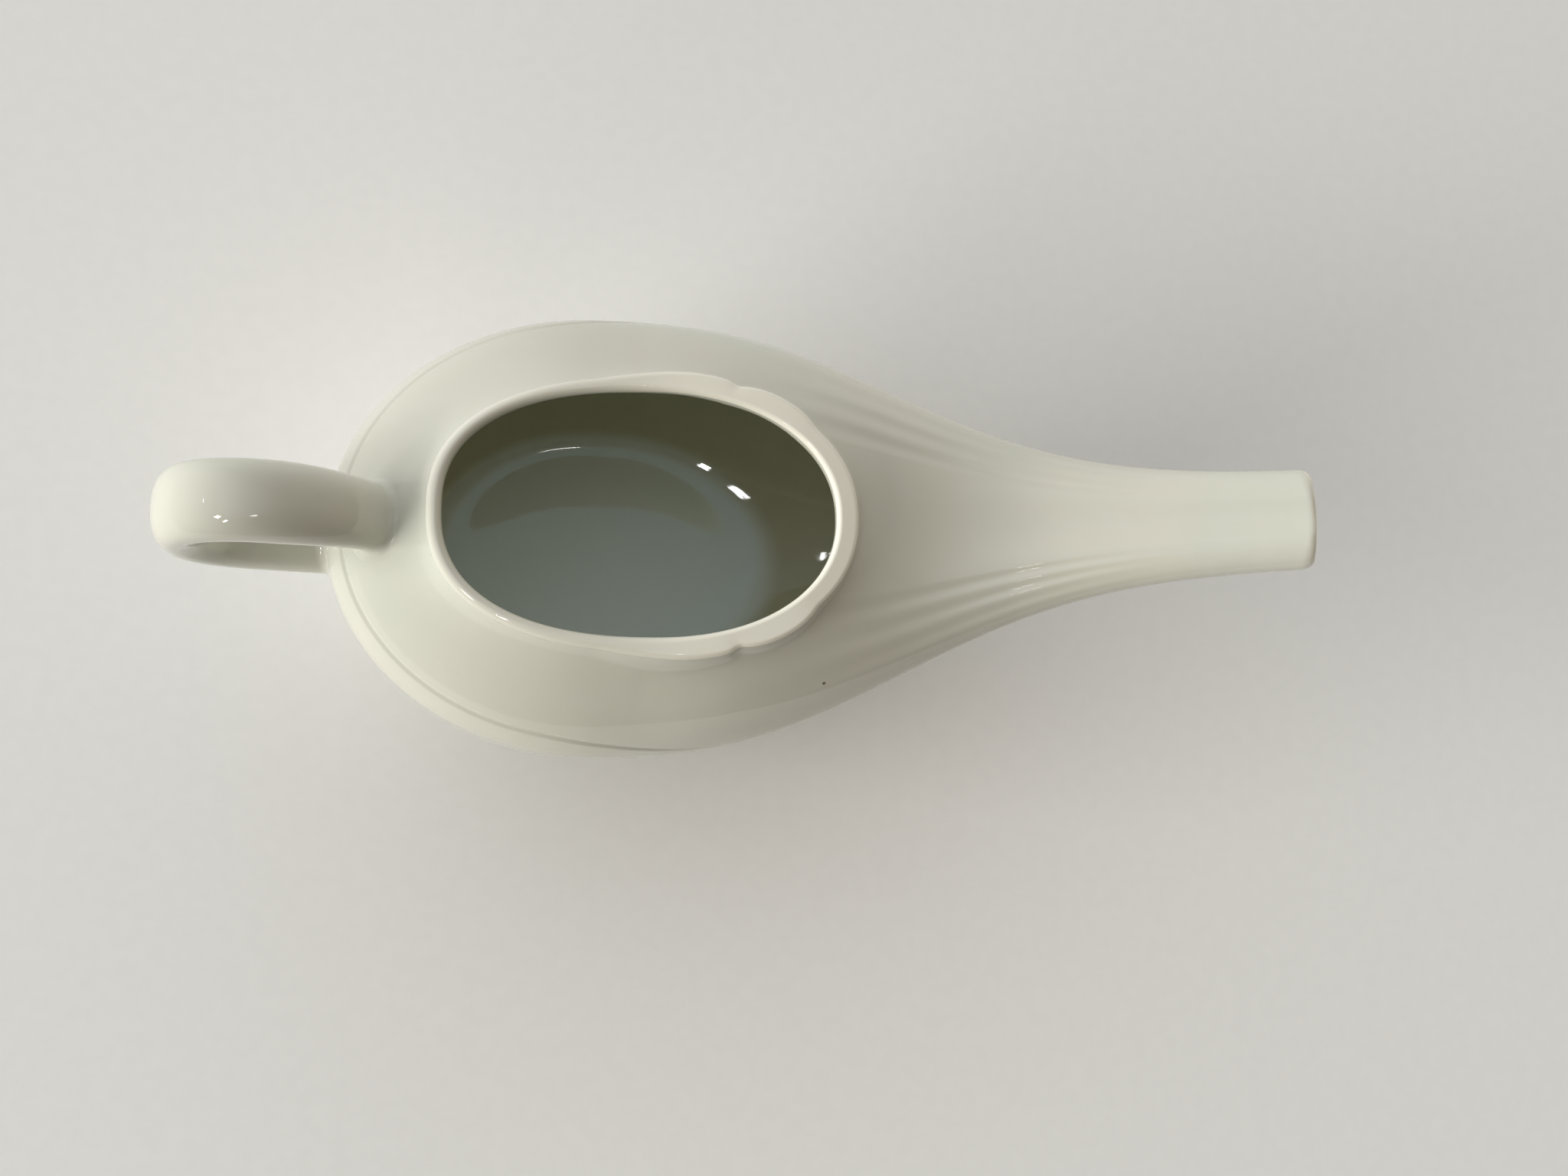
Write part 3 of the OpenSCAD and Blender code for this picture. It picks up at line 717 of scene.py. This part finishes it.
def lip_skin():
    """The drinking end, where the glaze runs thinner round the bead."""
    tip = lip_points()
    thin_glaze_and_crest_light = np.zeros(tip.shape[1])
    thin_glaze_and_crest_light[1:-1] = np.sin(np.linspace(0, np.pi, tip.shape[1] - 2))
    return Skin(tip, joints=(tip.shape[1] - 1,), thin_glaze_and_crest_light=thin_glaze_and_crest_light)


def vessel_skins():
    """The skins of all pieces but the two that are swept, by the names of the pieces."""
    deck = deck_outer(DECK_RAYS)
    return {
        "bowl": bowl_skin(),
        "deck": two_sheets(deck, deck_inner(DECK_RAYS), outside=(0, deck.shape[1])),
        "collar": collar_skin(),
        "spout": two_sheets(spout_points(np.linspace(ROOT_X, LIP_X, SPOUT_STEPS), False),
                            spout_points(np.linspace(LIP_X, ROOT_X, SPOUT_LINING_STEPS), True),
                            turned=True),
        "spout_lip": lip_skin()}


class Nodes:
    """Adds nodes to a tree. An input is given a plain value, or another node's socket."""

    def __init__(self, tree):
        self.tree = tree

    def node(self, kind, inputs=None, **settings):
        made = self.tree.nodes.new(kind)
        for key, value in settings.items():
            setattr(made, key, value)
        for key, value in (inputs or {}).items():
            self.feed(made.inputs[key], value)
        return made

    def feed(self, socket, value):
        if isinstance(value, bpy.types.NodeSocket):
            self.tree.links.new(value, socket)
        else:
            socket.default_value = value

    def math(self, operation, a, b=0.0, c=0.0, clamp=False):
        return self.node("ShaderNodeMath", {0: a, 1: b, 2: c}, operation=operation,
                         use_clamp=clamp).outputs[0]

    def vector(self, operation, a, b=(0, 0, 0)):
        second = "Scale" if operation == "SCALE" else 1
        made = self.node("ShaderNodeVectorMath", {0: a, second: b}, operation=operation)
        return made.outputs["Value" if operation == "DOT_PRODUCT" else "Vector"]

    def ramp(self, value, low, high, start=0.0, end=1.0):
        """Goes from start to end, softly, while the value goes from low to high."""
        return self.node("ShaderNodeMapRange", {
            "Value": value, "From Min": low, "From Max": high, "To Min": start, "To Max": end},
            interpolation_type="SMOOTHSTEP").outputs[0]

    def blend(self, share, a, b):
        """A colour between the colours a and b."""
        return self.node("ShaderNodeMix", {0: share, 6: a, 7: b}, data_type="RGBA").outputs[2]


# Geometry Nodes: the tree that sweeps a section along a path and lutes it to the body.
class Tree(Nodes):
    """A Geometry Nodes tree with named inputs, each given as (name, kind, value)."""

    def __init__(self, name, sockets):
        super().__init__(bpy.data.node_groups.new(name, "GeometryNodeTree"))
        face = self.tree.interface
        face.new_socket("Geometry", in_out="INPUT", socket_type="NodeSocketGeometry")
        for label, kind, value in sockets:
            made = face.new_socket(label, in_out="INPUT", socket_type="NodeSocket" + kind)
            if value is not None:
                made.default_value = value
        face.new_socket("Geometry", in_out="OUTPUT", socket_type="NodeSocketGeometry")
        self.given = self.tree.nodes.new("NodeGroupInput").outputs
        self.result = self.tree.nodes.new("NodeGroupOutput").inputs


def sweep_tree():
    """A strap of rounded section swept along a path in the X-Z or X-Y plane, and spread in a fillet
    where it is luted to the body. What lies deeper in the body than the tuck is cut off."""
    t = Tree("Luted sweep", [
        ("Body", "Object", None), ("Material", "Material", None),
        ("Width", "Float", 0.012), ("Thickness", "Float", 0.0075), ("Squareness", "Float", 2.6),
        ("Taper", "Float", 0.0), ("Taper end", "Float", 0.3), ("Fillet", "Float", 0.003),
        ("Sink", "Float", 0.00003), ("Tuck", "Float", 0.001),
        ("Steps along", "Int", 260), ("Steps round", "Int", 96)])
    g = t.given
    path = t.node("GeometryNodeResampleCurve", {"Curve": g["Geometry"], "Count": g["Steps along"]})
    place = t.node("GeometryNodeSplineParameter").outputs["Factor"]
    stored = t.node("GeometryNodeStoreNamedAttribute", {
        "Geometry": path.outputs[0], "Name": "along", "Value": place}, data_type="FLOAT")
    ring = t.node("GeometryNodeCurvePrimitiveCircle", {
        "Resolution": g["Steps round"], "Radius": 1.0}, mode="RADIUS")
    at = t.node("ShaderNodeSeparateXYZ", {0: t.node("GeometryNodeInputPosition").outputs[0]})
    power = t.math("DIVIDE", 2.0, g["Squareness"])

    def flattened(value, size):
        bulk = t.math("POWER", t.math("ABSOLUTE", value), power)
        signed = t.math("MULTIPLY", bulk, t.math("SIGN", value))
        return t.math("MULTIPLY", signed, t.math("MULTIPLY", size, 0.5))

    corner = t.node("ShaderNodeCombineXYZ", {
        0: flattened(at.outputs[0], g["Width"]), 1: flattened(at.outputs[1], g["Thickness"])})
    section = t.node("GeometryNodeSetPosition", {
        "Geometry": ring.outputs[0], "Position": corner.outputs[0]})
    swept = t.node("GeometryNodeCurveToMesh", {
        "Curve": stored.outputs[0], "Profile Curve": section.outputs[0]})
    where = t.node("GeometryNodeInputPosition").outputs[0]
    parts = t.node("ShaderNodeSeparateXYZ", {0: where})
    far = t.node("GeometryNodeInputNamedAttribute", {"Name": "along"}, data_type="FLOAT")
    near_root = t.ramp(far.outputs[0], 0.0, g["Taper end"], 1.0, 0.0)
    narrow = t.math("SUBTRACT", 1.0, t.math("MULTIPLY", near_root, g["Taper"]))
    slim = t.node("ShaderNodeCombineXYZ", {
        0: parts.outputs[0], 1: t.math("MULTIPLY", parts.outputs[1], narrow), 2: parts.outputs[2]})
    strap = t.node("GeometryNodeSetPosition", {
        "Geometry": swept.outputs[0], "Position": slim.outputs[0]}).outputs[0]

    body = t.node("GeometryNodeObjectInfo", {"Object": g["Body"]}).outputs["Geometry"]
    face = t.node("GeometryNodeInputNormal").outputs["Normal"]

    def nearest():
        """The body's normal at its place nearest to the strap, and the height above it."""
        spot = t.node("GeometryNodeProximity", {"Geometry": body}, target_element="FACES")
        lean = t.node("GeometryNodeSampleNearestSurface", {
            "Mesh": body, "Value": face}, data_type="FLOAT_VECTOR")
        away = t.vector("NORMALIZE", lean.outputs["Value"])
        offset = t.vector("SUBTRACT", where, spot.outputs["Position"])
        return away, t.vector("DOT_PRODUCT", offset, away)

    away, height = nearest()
    closeness = t.math("SUBTRACT", 1.0, t.math("DIVIDE", height, g["Fillet"]), clamp=True)
    turn = t.math("MULTIPLY", closeness, math.pi / 2)
    rise = t.math("MULTIPLY", g["Fillet"], t.math("SUBTRACT", 1.0, t.math("SINE", turn)))
    spread = t.math("MULTIPLY", g["Fillet"], t.math("SUBTRACT", 1.0, t.math("COSINE", turn)))
    tucked = t.math("MULTIPLY", g["Tuck"], -1.0)
    inside = t.math("MAXIMUM", t.math("MINIMUM", height, 0.0), tucked)
    outside = t.math("MAXIMUM", t.math("SUBTRACT", height, g["Fillet"]), 0.0)
    level = t.math("ADD", t.math("ADD", rise, inside), outside)
    shift = t.math("SUBTRACT", t.math("SUBTRACT", level, height), g["Sink"])
    lifted = t.vector("SCALE", away, shift)
    widened = t.vector("SCALE", face, spread)
    too_deep = t.node("FunctionNodeCompare", {
        0: height, 1: t.math("MULTIPLY", g["Tuck"], -1.2)}, operation="LESS_THAN")
    marked = t.node("GeometryNodeStoreNamedAttribute", {
        "Geometry": strap, "Name": "deep", "Value": too_deep.outputs[0]}, data_type="BOOLEAN")
    in_fillet = t.node("FunctionNodeCompare", {0: height, 1: g["Fillet"]}, operation="LESS_THAN")
    luted = t.node("GeometryNodeSetPosition", {
        "Geometry": marked.outputs[0], "Offset": t.vector("ADD", lifted, widened),
        "Selection": in_fillet.outputs[0]})
    deep = t.node("GeometryNodeInputNamedAttribute", {"Name": "deep"}, data_type="BOOLEAN")
    trimmed = t.node("GeometryNodeDeleteGeometry", {
        "Geometry": luted.outputs[0], "Selection": deep.outputs[0]}, domain="POINT")
    away, height = nearest()
    lift = t.math("MAXIMUM", t.math("SUBTRACT", tucked, height), 0.0)
    held = t.node("GeometryNodeSetPosition", {
        "Geometry": trimmed.outputs[0], "Offset": t.vector("SCALE", away, lift)})
    leaning = t.node("GeometryNodeStoreNamedAttribute", {
        "Geometry": held.outputs[0], "Name": "body_normal", "Value": away},
        data_type="FLOAT_VECTOR")
    measured = t.node("GeometryNodeStoreNamedAttribute", {
        "Geometry": leaning.outputs[0], "Name": "height", "Value": height}, data_type="FLOAT")
    real = t.node("GeometryNodeRealizeInstances", {"Geometry": measured.outputs[0]})
    done = t.node("GeometryNodeSetMaterial", {
        "Geometry": real.outputs[0], "Material": g["Material"]})
    t.feed(t.result[0], done.outputs[0])
    return t.tree


def give(modifier, **values):
    """Sets a modifier's inputs by their sockets' identifiers."""
    names = {s.name: s.identifier for s in modifier.node_group.interface.items_tree
             if s.item_type == "SOCKET" and s.in_out == "INPUT"}
    for label, value in values.items():
        modifier[names[label.replace("_", " ")]] = value


def swept(name, path, tree, **values):
    """The sweep along a path, evaluated to a plain mesh with its ends closed, and with the body's
    own normals where it dies into the body."""
    merge, normals_blend = 1e-7, 0.35 * MM
    modifier = path.modifiers.new("Sweep", "NODES")
    modifier.node_group = tree
    give(modifier, **values)
    bpy.context.view_layer.update()
    ready = path.evaluated_get(bpy.context.evaluated_depsgraph_get())
    mesh = bpy.data.meshes.new_from_object(ready)
    mesh.name = name
    path.modifiers.clear()
    bpy.data.objects.remove(path)
    work = bmesh.new()
    work.from_mesh(mesh)
    bmesh.ops.remove_doubles(work, verts=work.verts, dist=merge)
    open_edges = [e for e in work.edges if e.is_boundary]
    if open_edges:
        bmesh.ops.holes_fill(work, edges=open_edges, sides=0)
    bmesh.ops.recalc_face_normals(work, faces=work.faces)
    work.to_mesh(mesh)
    work.free()
    mesh.polygons.foreach_set("use_smooth", np.ones(len(mesh.polygons), bool))
    count = len(mesh.vertices)
    height = np.zeros(count, np.float32)
    mesh.attributes["height"].data.foreach_get("value", height)
    lean = np.zeros(count * 3, np.float32)
    mesh.attributes["body_normal"].data.foreach_get("vector", lean)
    own = np.zeros(count * 3, np.float32)
    mesh.vertex_normals.foreach_get("vector", own)
    share = ease(1 - height / normals_blend)[:, None]
    normals = mix(own.reshape(-1, 3), lean.reshape(-1, 3), share)
    normals /= np.maximum(np.linalg.norm(normals, axis=1, keepdims=True), 1e-9)
    mesh.normals_split_custom_set_from_vertices(normals.tolist())
    for label in ("height", "body_normal", "along", "deep"):
        if label in mesh.attributes:
            mesh.attributes.remove(mesh.attributes[label])
    return link(name, mesh)


def loop_line():
    """Middle line of the handle: over the top, and back in to the body. Each of its points has one
    handle before it and one after."""
    def place(p):
        return [v * MM for v in (p[0] - REAR_LEN, 0, p[1] + BELT_Z)]

    data = bpy.data.curves.new("loop_line", "CURVE")
    data.dimensions = "3D"
    data.resolution_u = 64
    spline = data.splines.new("BEZIER")
    spline.bezier_points.add(2)
    stations = ((UPPER_ROOT, UPPER_ROOT, UPPER_PULL[0]),
                (LOOP_BACK, UPPER_PULL[1], LOWER_PULL[0]),
                (LOWER_ROOT, LOWER_PULL[1], LOWER_ROOT))
    for point, (co, before, after) in zip(spline.bezier_points, stations):
        point.handle_left_type = point.handle_right_type = "FREE"
        point.co = place(co)
        point.handle_left = place(before)
        point.handle_right = place(after)
    return link("loop_line", data)


def foot_line():
    """Middle line of the foot ring, set in a little from where the hull comes down to it."""
    e = edge(BOWL_RAYS, 0)
    f = e * (1 - landing(e, FOOT_H))[:, None]
    radius = np.linalg.norm(f, axis=1, keepdims=True)
    line = f * (1 - (FOOT_INSET + FOOT_W / 2) / radius)
    data = bpy.data.curves.new("foot_line", "CURVE")
    data.dimensions = "3D"
    spline = data.splines.new("POLY")
    spline.points.add(len(line) - 1)
    spline.use_cyclic_u = True
    for point, (x, y) in zip(spline.points, line):
        point.co = (x * MM, y * MM, (FOOT_H / 2 + FOOT_OVERLAP / 2) * MM, 1)
    return link("foot_line", data)


# Materials.
class Paint(Nodes):
    """A material whose look is set on its Principled shader."""

    def __init__(self, name):
        self.material = bpy.data.materials.new(name)
        self.material.use_nodes = True
        super().__init__(self.material.node_tree)
        self.shader = self.tree.nodes["Principled BSDF"]

    def place(self):
        return self.node("ShaderNodeTexCoord").outputs["Object"]

    def noise(self, place, size, detail, rough=0.5):
        """Noise whose features are about that many millimetres across."""
        return self.node("ShaderNodeTexNoise", {
            "Vector": place, "Scale": 1 / (size * MM), "Detail": detail, "Roughness": rough},
        ).outputs["Fac"]

    def carried(self, label, most):
        """A value that the mesh carries, up to the share most."""
        value = self.node("ShaderNodeAttribute", attribute_name=label).outputs["Fac"]
        return self.ramp(value, 0.0, 1.0, 0.0, most)

    def bump(self, height, strength, distance, **under):
        """A surface raised by that height, over a normal that may be given."""
        return self.node("ShaderNodeBump", {
            "Height": height, "Strength": strength, "Distance": distance * MM, **under}).outputs[0]

    def set(self, **values):
        for label, value in values.items():
            self.feed(self.shader.inputs[label.replace("_", " ")], value)


def colour(r, g, b):
    return (r, g, b, 1.0)


def specks(p, place):
    """Iron specks: a round dot in the middle of a few cells, whose colour happens to be high."""
    cell, few, dot_size = 9, (0.935, 0.94), (0.022, 0.04)
    cells = p.node("ShaderNodeTexVoronoi", {
        "Vector": place, "Scale": 1 / (cell * MM), "Randomness": 1.0}, feature="F1")
    chance = p.node("ShaderNodeSeparateColor", {0: cells.outputs["Color"]}).outputs[0]
    dot = p.ramp(cells.outputs["Distance"], *dot_size, 1.0, 0.0)
    return p.math("MULTIPLY", p.ramp(chance, *few), dot)


def glaze_material():
    """White ceramic under a clear glaze: faint warm and green clouds, iron specks, orange peel,
    painted olive shade on the inner walls, a painted bluish reflection and lighter tone on the
    floor, painted light on the collar's crest, and warm body where the glaze runs thinner on the
    lip."""
    p = Paint("white_glaze")
    place = p.place()
    clouds = p.ramp(p.noise(place, 34, 3, 0.55), 0.35, 0.68)
    base = p.blend(clouds, colour(0.63, 0.615, 0.53), colour(0.60, 0.61, 0.53))
    mottle = p.ramp(p.noise(place, 5, 4, 0.6), 0.42, 0.75, 0.0, 0.35)
    base = p.blend(mottle, base, colour(0.65, 0.64, 0.565))
    # Painted shade on the inner walls, a painted bluish reflection and light on the floor, and
    # painted light on the crest, which also lightens the lip where the glaze runs thinner.
    for label, most, tone in (("inner", 0.9, colour(0.57, 0.565, 0.42)),
                              ("floor_reflection", 0.9, colour(0.82, 0.94, 0.95)),
                              ("thin_glaze_and_crest_light", 1.0, colour(0.90, 0.87, 0.76))):
        base = p.blend(p.carried(label, most), base, tone)
    base = p.blend(specks(p, place), base, colour(0.16, 0.13, 0.10))
    p.set(Base_Color=base, Roughness=p.ramp(p.noise(place, 12, 3, 0.6), 0.3, 0.7, 0.02, 0.055),
          IOR=1.5)
    wave = p.bump(p.noise(place, 16, 1, 0.4), 0.35, 0.35)
    p.set(Normal=p.bump(p.noise(place, 1.1, 3, 0.55), 0.10, 0.03, Normal=wave))
    return p.material


def foot_material():
    """Glazed foot, wiped bare where it stands: the clay shows below a wavering line."""
    wiped, waver = (0.55 * MM, 0.85 * MM), 0.25 * MM
    p = Paint("wiped_foot")
    place = p.place()
    z = p.node("ShaderNodeSeparateXYZ", {0: place}).outputs[2]
    wavering = p.ramp(p.noise(place, 6, 3, 0.6), 0.3, 0.7, -waver, waver)
    glazed = p.ramp(p.math("ADD", z, wavering), *wiped)
    clay = p.blend(p.ramp(p.noise(place, 1.4, 5, 0.7), 0.35, 0.7), colour(0.72, 0.64, 0.52),
                   colour(0.60, 0.52, 0.41))
    p.set(Base_Color=p.blend(glazed, clay, colour(0.79, 0.785, 0.715)), IOR=1.5,
          Roughness=p.ramp(glazed, 0.0, 1.0, 0.82, 0.1))
    grit = p.ramp(p.noise(place, 0.5, 4, 0.7), 0.3, 0.7)
    p.set(Normal=p.bump(p.math("MULTIPLY", grit, p.math("SUBTRACT", 1.0, glazed)), 0.5, 0.15))
    return p.material


def plain_material(name, rgb, rough):
    """Paper of one colour with a faint grain."""
    p = Paint(name)
    grain = p.ramp(p.noise(p.place(), 3, 2), 0.3, 0.7)
    p.set(Base_Color=p.blend(grain, colour(*rgb), colour(*(v * 0.985 for v in rgb))),
          Roughness=rough)
    return p.material


# Pieces.
GLAZE = glaze_material()
FOOT = foot_material()

skins = vessel_skins()
pieces = {name: mesh_from("piece_" + name, skin, normals)
          for (name, skin), normals in zip(skins.items(), shared_normals(list(skins.values())))}
for piece in pieces.values():
    piece.data.materials.append(GLAZE)


def outside_of_body():
    """The body's outer skin alone, which the handle and the foot are luted to."""
    work = bmesh.new()
    for name in ("bowl", "deck", "collar"):
        skin = skins[name]
        corners = [work.verts.new(p * MM) for p in skin.points]
        for i in np.flatnonzero(skin.outside):
            work.faces.new([corners[v] for v in skin.faces[i]]).smooth = True
    loose = [v for v in work.verts if not v.link_faces]
    bmesh.ops.delete(work, geom=loose, context="VERTS")
    bmesh.ops.remove_doubles(work, verts=work.verts, dist=1e-6)
    mesh = bpy.data.meshes.new("luting_face")
    work.to_mesh(mesh)
    work.free()
    return link("luting_face", mesh)


body = outside_of_body()
tree = sweep_tree()
pieces["handle"] = swept(
    "piece_handle", loop_line(), tree,
    Body=body, Material=GLAZE, Width=STRAP_W * MM, Thickness=STRAP_T * MM,
    Squareness=STRAP_SQUARENESS, Taper=STRAP_TAPER, Taper_end=0.27, Fillet=1.7 * MM,
    Sink=0.03 * MM, Tuck=1.0 * MM)
pieces["foot_ring"] = swept(
    "piece_foot_ring", foot_line(), tree,
    Body=body, Material=FOOT, Width=FOOT_W * MM, Thickness=(FOOT_H + FOOT_OVERLAP) * MM,
    Squareness=5.0, Taper=0.0, Taper_end=0.3, Fillet=0.8 * MM, Sink=0.01 * MM, Tuck=0.3 * MM,
    Steps_along=480, Steps_round=48)
bpy.data.objects.remove(body)

for name, piece in pieces.items():
    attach(piece, "root")
    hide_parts(name)


# Studio, in metres: a plain pale floor and backdrop, soft light, and the camera of the photograph.
FLOOR_RADIUS = 0.9
FLOOR_CORNERS = 160
LIT_POINT = np.array((0.02, 0, 0.03))
# Small panes that only the glaze mirrors: their size, power for each square metre, distance, and
# the steps between them. A group is where its first pane stands, and its columns and rows.
PANE = (0.06, 0.055)
PANE_POWER = 130
PANE_DISTANCE = 1.2
PANE_TURN = 4
PANE_CLIMB = 3.4
PANE_GROUPS = ((-144, 53, 2, 2), (-122, 50, 1, 2))


def studio_floor():
    """A pale disc that reaches well past the picture."""
    around = np.linspace(0, 2 * np.pi, FLOOR_CORNERS, endpoint=False)
    ring = [(FLOOR_RADIUS * math.cos(a), FLOOR_RADIUS * math.sin(a), 0) for a in around]
    mesh = bpy.data.meshes.new("floor")
    mesh.from_pydata(ring, [], [tuple(range(len(ring)))])
    mesh.materials.append(plain_material("floor_paper", (0.9, 0.895, 0.885), 0.7))
    link("floor", mesh)


def studio_world():
    """Light that comes mostly from one side and less from above, warm on one hand and cool on the
    other. The glaze mirrors half of it, with a bluish light overhead."""
    world = bpy.data.worlds.new("studio")
    bpy.context.scene.world = world
    world.use_nodes = True
    w = Nodes(world.node_tree)
    way = w.node("ShaderNodeTexCoord").outputs["Generated"]
    path = w.node("ShaderNodeLightPath").outputs
    mirrored = path["Is Glossy Ray"]

    def toward(direction, low, high, start, end):
        return w.ramp(w.vector("DOT_PRODUCT", way, direction), low, high, start, end)

    side = toward((-0.22, 0.965, 0.14), -0.75, 1.0, 0.0, 1.42)
    above = toward((0, 0, 1), 0.0, 0.98, 1.0, 0.6)
    dimmed = w.ramp(mirrored, 0.0, 1.0, 1.0, 0.5)
    overhead = w.math("MULTIPLY", mirrored, toward((0, 0, 1), 0.86, 0.97, 0.0, 1.0))
    soft = w.math("MULTIPLY", w.math("MULTIPLY", side, above), dimmed)
    hand = toward((-0.6, 0.8, 0), -0.5, 0.8, 0.0, 1.0)
    tint = w.blend(hand, colour(1.0, 0.86, 0.66), colour(0.93, 0.97, 1.0))
    sky = w.tree.nodes["Background"]
    w.feed(sky.inputs["Color"], w.blend(overhead, tint, colour(0.62, 0.85, 1.0)))
    w.feed(sky.inputs["Strength"], w.math("MULTIPLY_ADD", overhead, 0.45, soft))
    # The camera sees a plain pale backdrop in place of the light's own gradient.
    backdrop = w.node("ShaderNodeBackground", {"Color": colour(0.64, 0.635, 0.62)})
    seen = w.node("ShaderNodeMixShader", {
        0: path["Is Camera Ray"], 1: sky.outputs[0], 2: backdrop.outputs[0]})
    w.feed(w.tree.nodes["World Output"].inputs[0], seen.outputs[0])


def lamp(name, azimuth, height, distance, size, power, rgb=(1, 1, 1), mirrored=True):
    """A flat lamp that faces the vessel. The glaze mirrors it and nothing is lit by it, or the
    other way round."""
    data = bpy.data.lights.new(name, "AREA")
    data.shape = "RECTANGLE"
    data.size, data.size_y = size
    data.energy = power
    data.color = rgb
    made = link(name, data)
    made.visible_glossy, made.visible_diffuse = mirrored, not mirrored
    a, e = math.radians(azimuth), math.radians(height)
    way = (math.cos(a) * math.cos(e), math.sin(a) * math.cos(e), math.sin(e))
    place = LIT_POINT + distance * np.array(way)
    back = place - LIT_POINT
    back /= np.linalg.norm(back)
    right = np.cross([0, 0, 1.0], back)
    right /= np.linalg.norm(right)
    up = np.cross(back, right)
    rows = [[right[i], up[i], back[i], place[i]] for i in range(3)]
    made.matrix_world = Matrix(rows + [[0, 0, 0, 1]])


def studio_lamps():
    lamp("soft_left", 194, 14, 4.0, (2.9, 1.6), 170, (1.0, 0.985, 0.95), mirrored=False)
    lamp("soft_near", -112, 16, 3.0, (0.9, 0.7), 9.0, (1.0, 0.95, 0.86), mirrored=False)
    for azimuth, height, columns, rows in PANE_GROUPS:
        for column in range(columns):
            for row in range(rows):
                lamp("pane", azimuth + PANE_TURN * column, height + PANE_CLIMB * row,
                     PANE_DISTANCE, PANE, PANE_POWER * PANE[0] * PANE[1])
    lamp("far_pane", 172, 46, PANE_DISTANCE, (0.09, 0.014), 0.16)
    lamp("skylight", -72, 70, PANE_DISTANCE, (0.12, 0.02), 0.24)


# Camera: its turns about X, Y and its own line of sight, its place in its own axes and the point
# that this place is measured from, in degrees and millimetres, and its focal length in pixels of
# a picture of that width.
CAMERA_TURN = (-8.28, 10.17, 0.63)
CAMERA_PLACE = (-35.03, 8.52, 275.0)
CAMERA_ORIGIN = (-4.0, 0.0, 34.0)
FOCAL_PIXELS = 2200
PICTURE_PIXELS = 2048
SENSOR = 36


def camera():
    """The camera, at the photograph's angle and distance."""
    tx, ty, roll = (math.radians(v) for v in CAMERA_TURN)
    turn = (Matrix.Rotation(roll, 3, "Z") @ Matrix.Rotation(tx, 3, "X")
            @ Matrix.Rotation(ty, 3, "Y"))
    ox, oy, d = CAMERA_PLACE
    place = turn.transposed() @ Vector((-ox, -oy, d))
    data = bpy.data.cameras.new("camera")
    data.lens = FOCAL_PIXELS / PICTURE_PIXELS * SENSOR
    data.sensor_width, data.sensor_fit = SENSOR, "HORIZONTAL"
    data.clip_start, data.clip_end = 0.01, 20
    made = link("camera", data)
    rows = [[turn[0][i], turn[1][i], turn[2][i], (place[i] + CAMERA_ORIGIN[i]) * MM]
            for i in range(3)]
    made.matrix_world = Matrix(rows + [[0, 0, 0, 1]])
    bpy.context.scene.camera = made


studio_floor()
studio_world()
studio_lamps()
camera()
bpy.context.scene.view_settings.view_transform = "Standard"
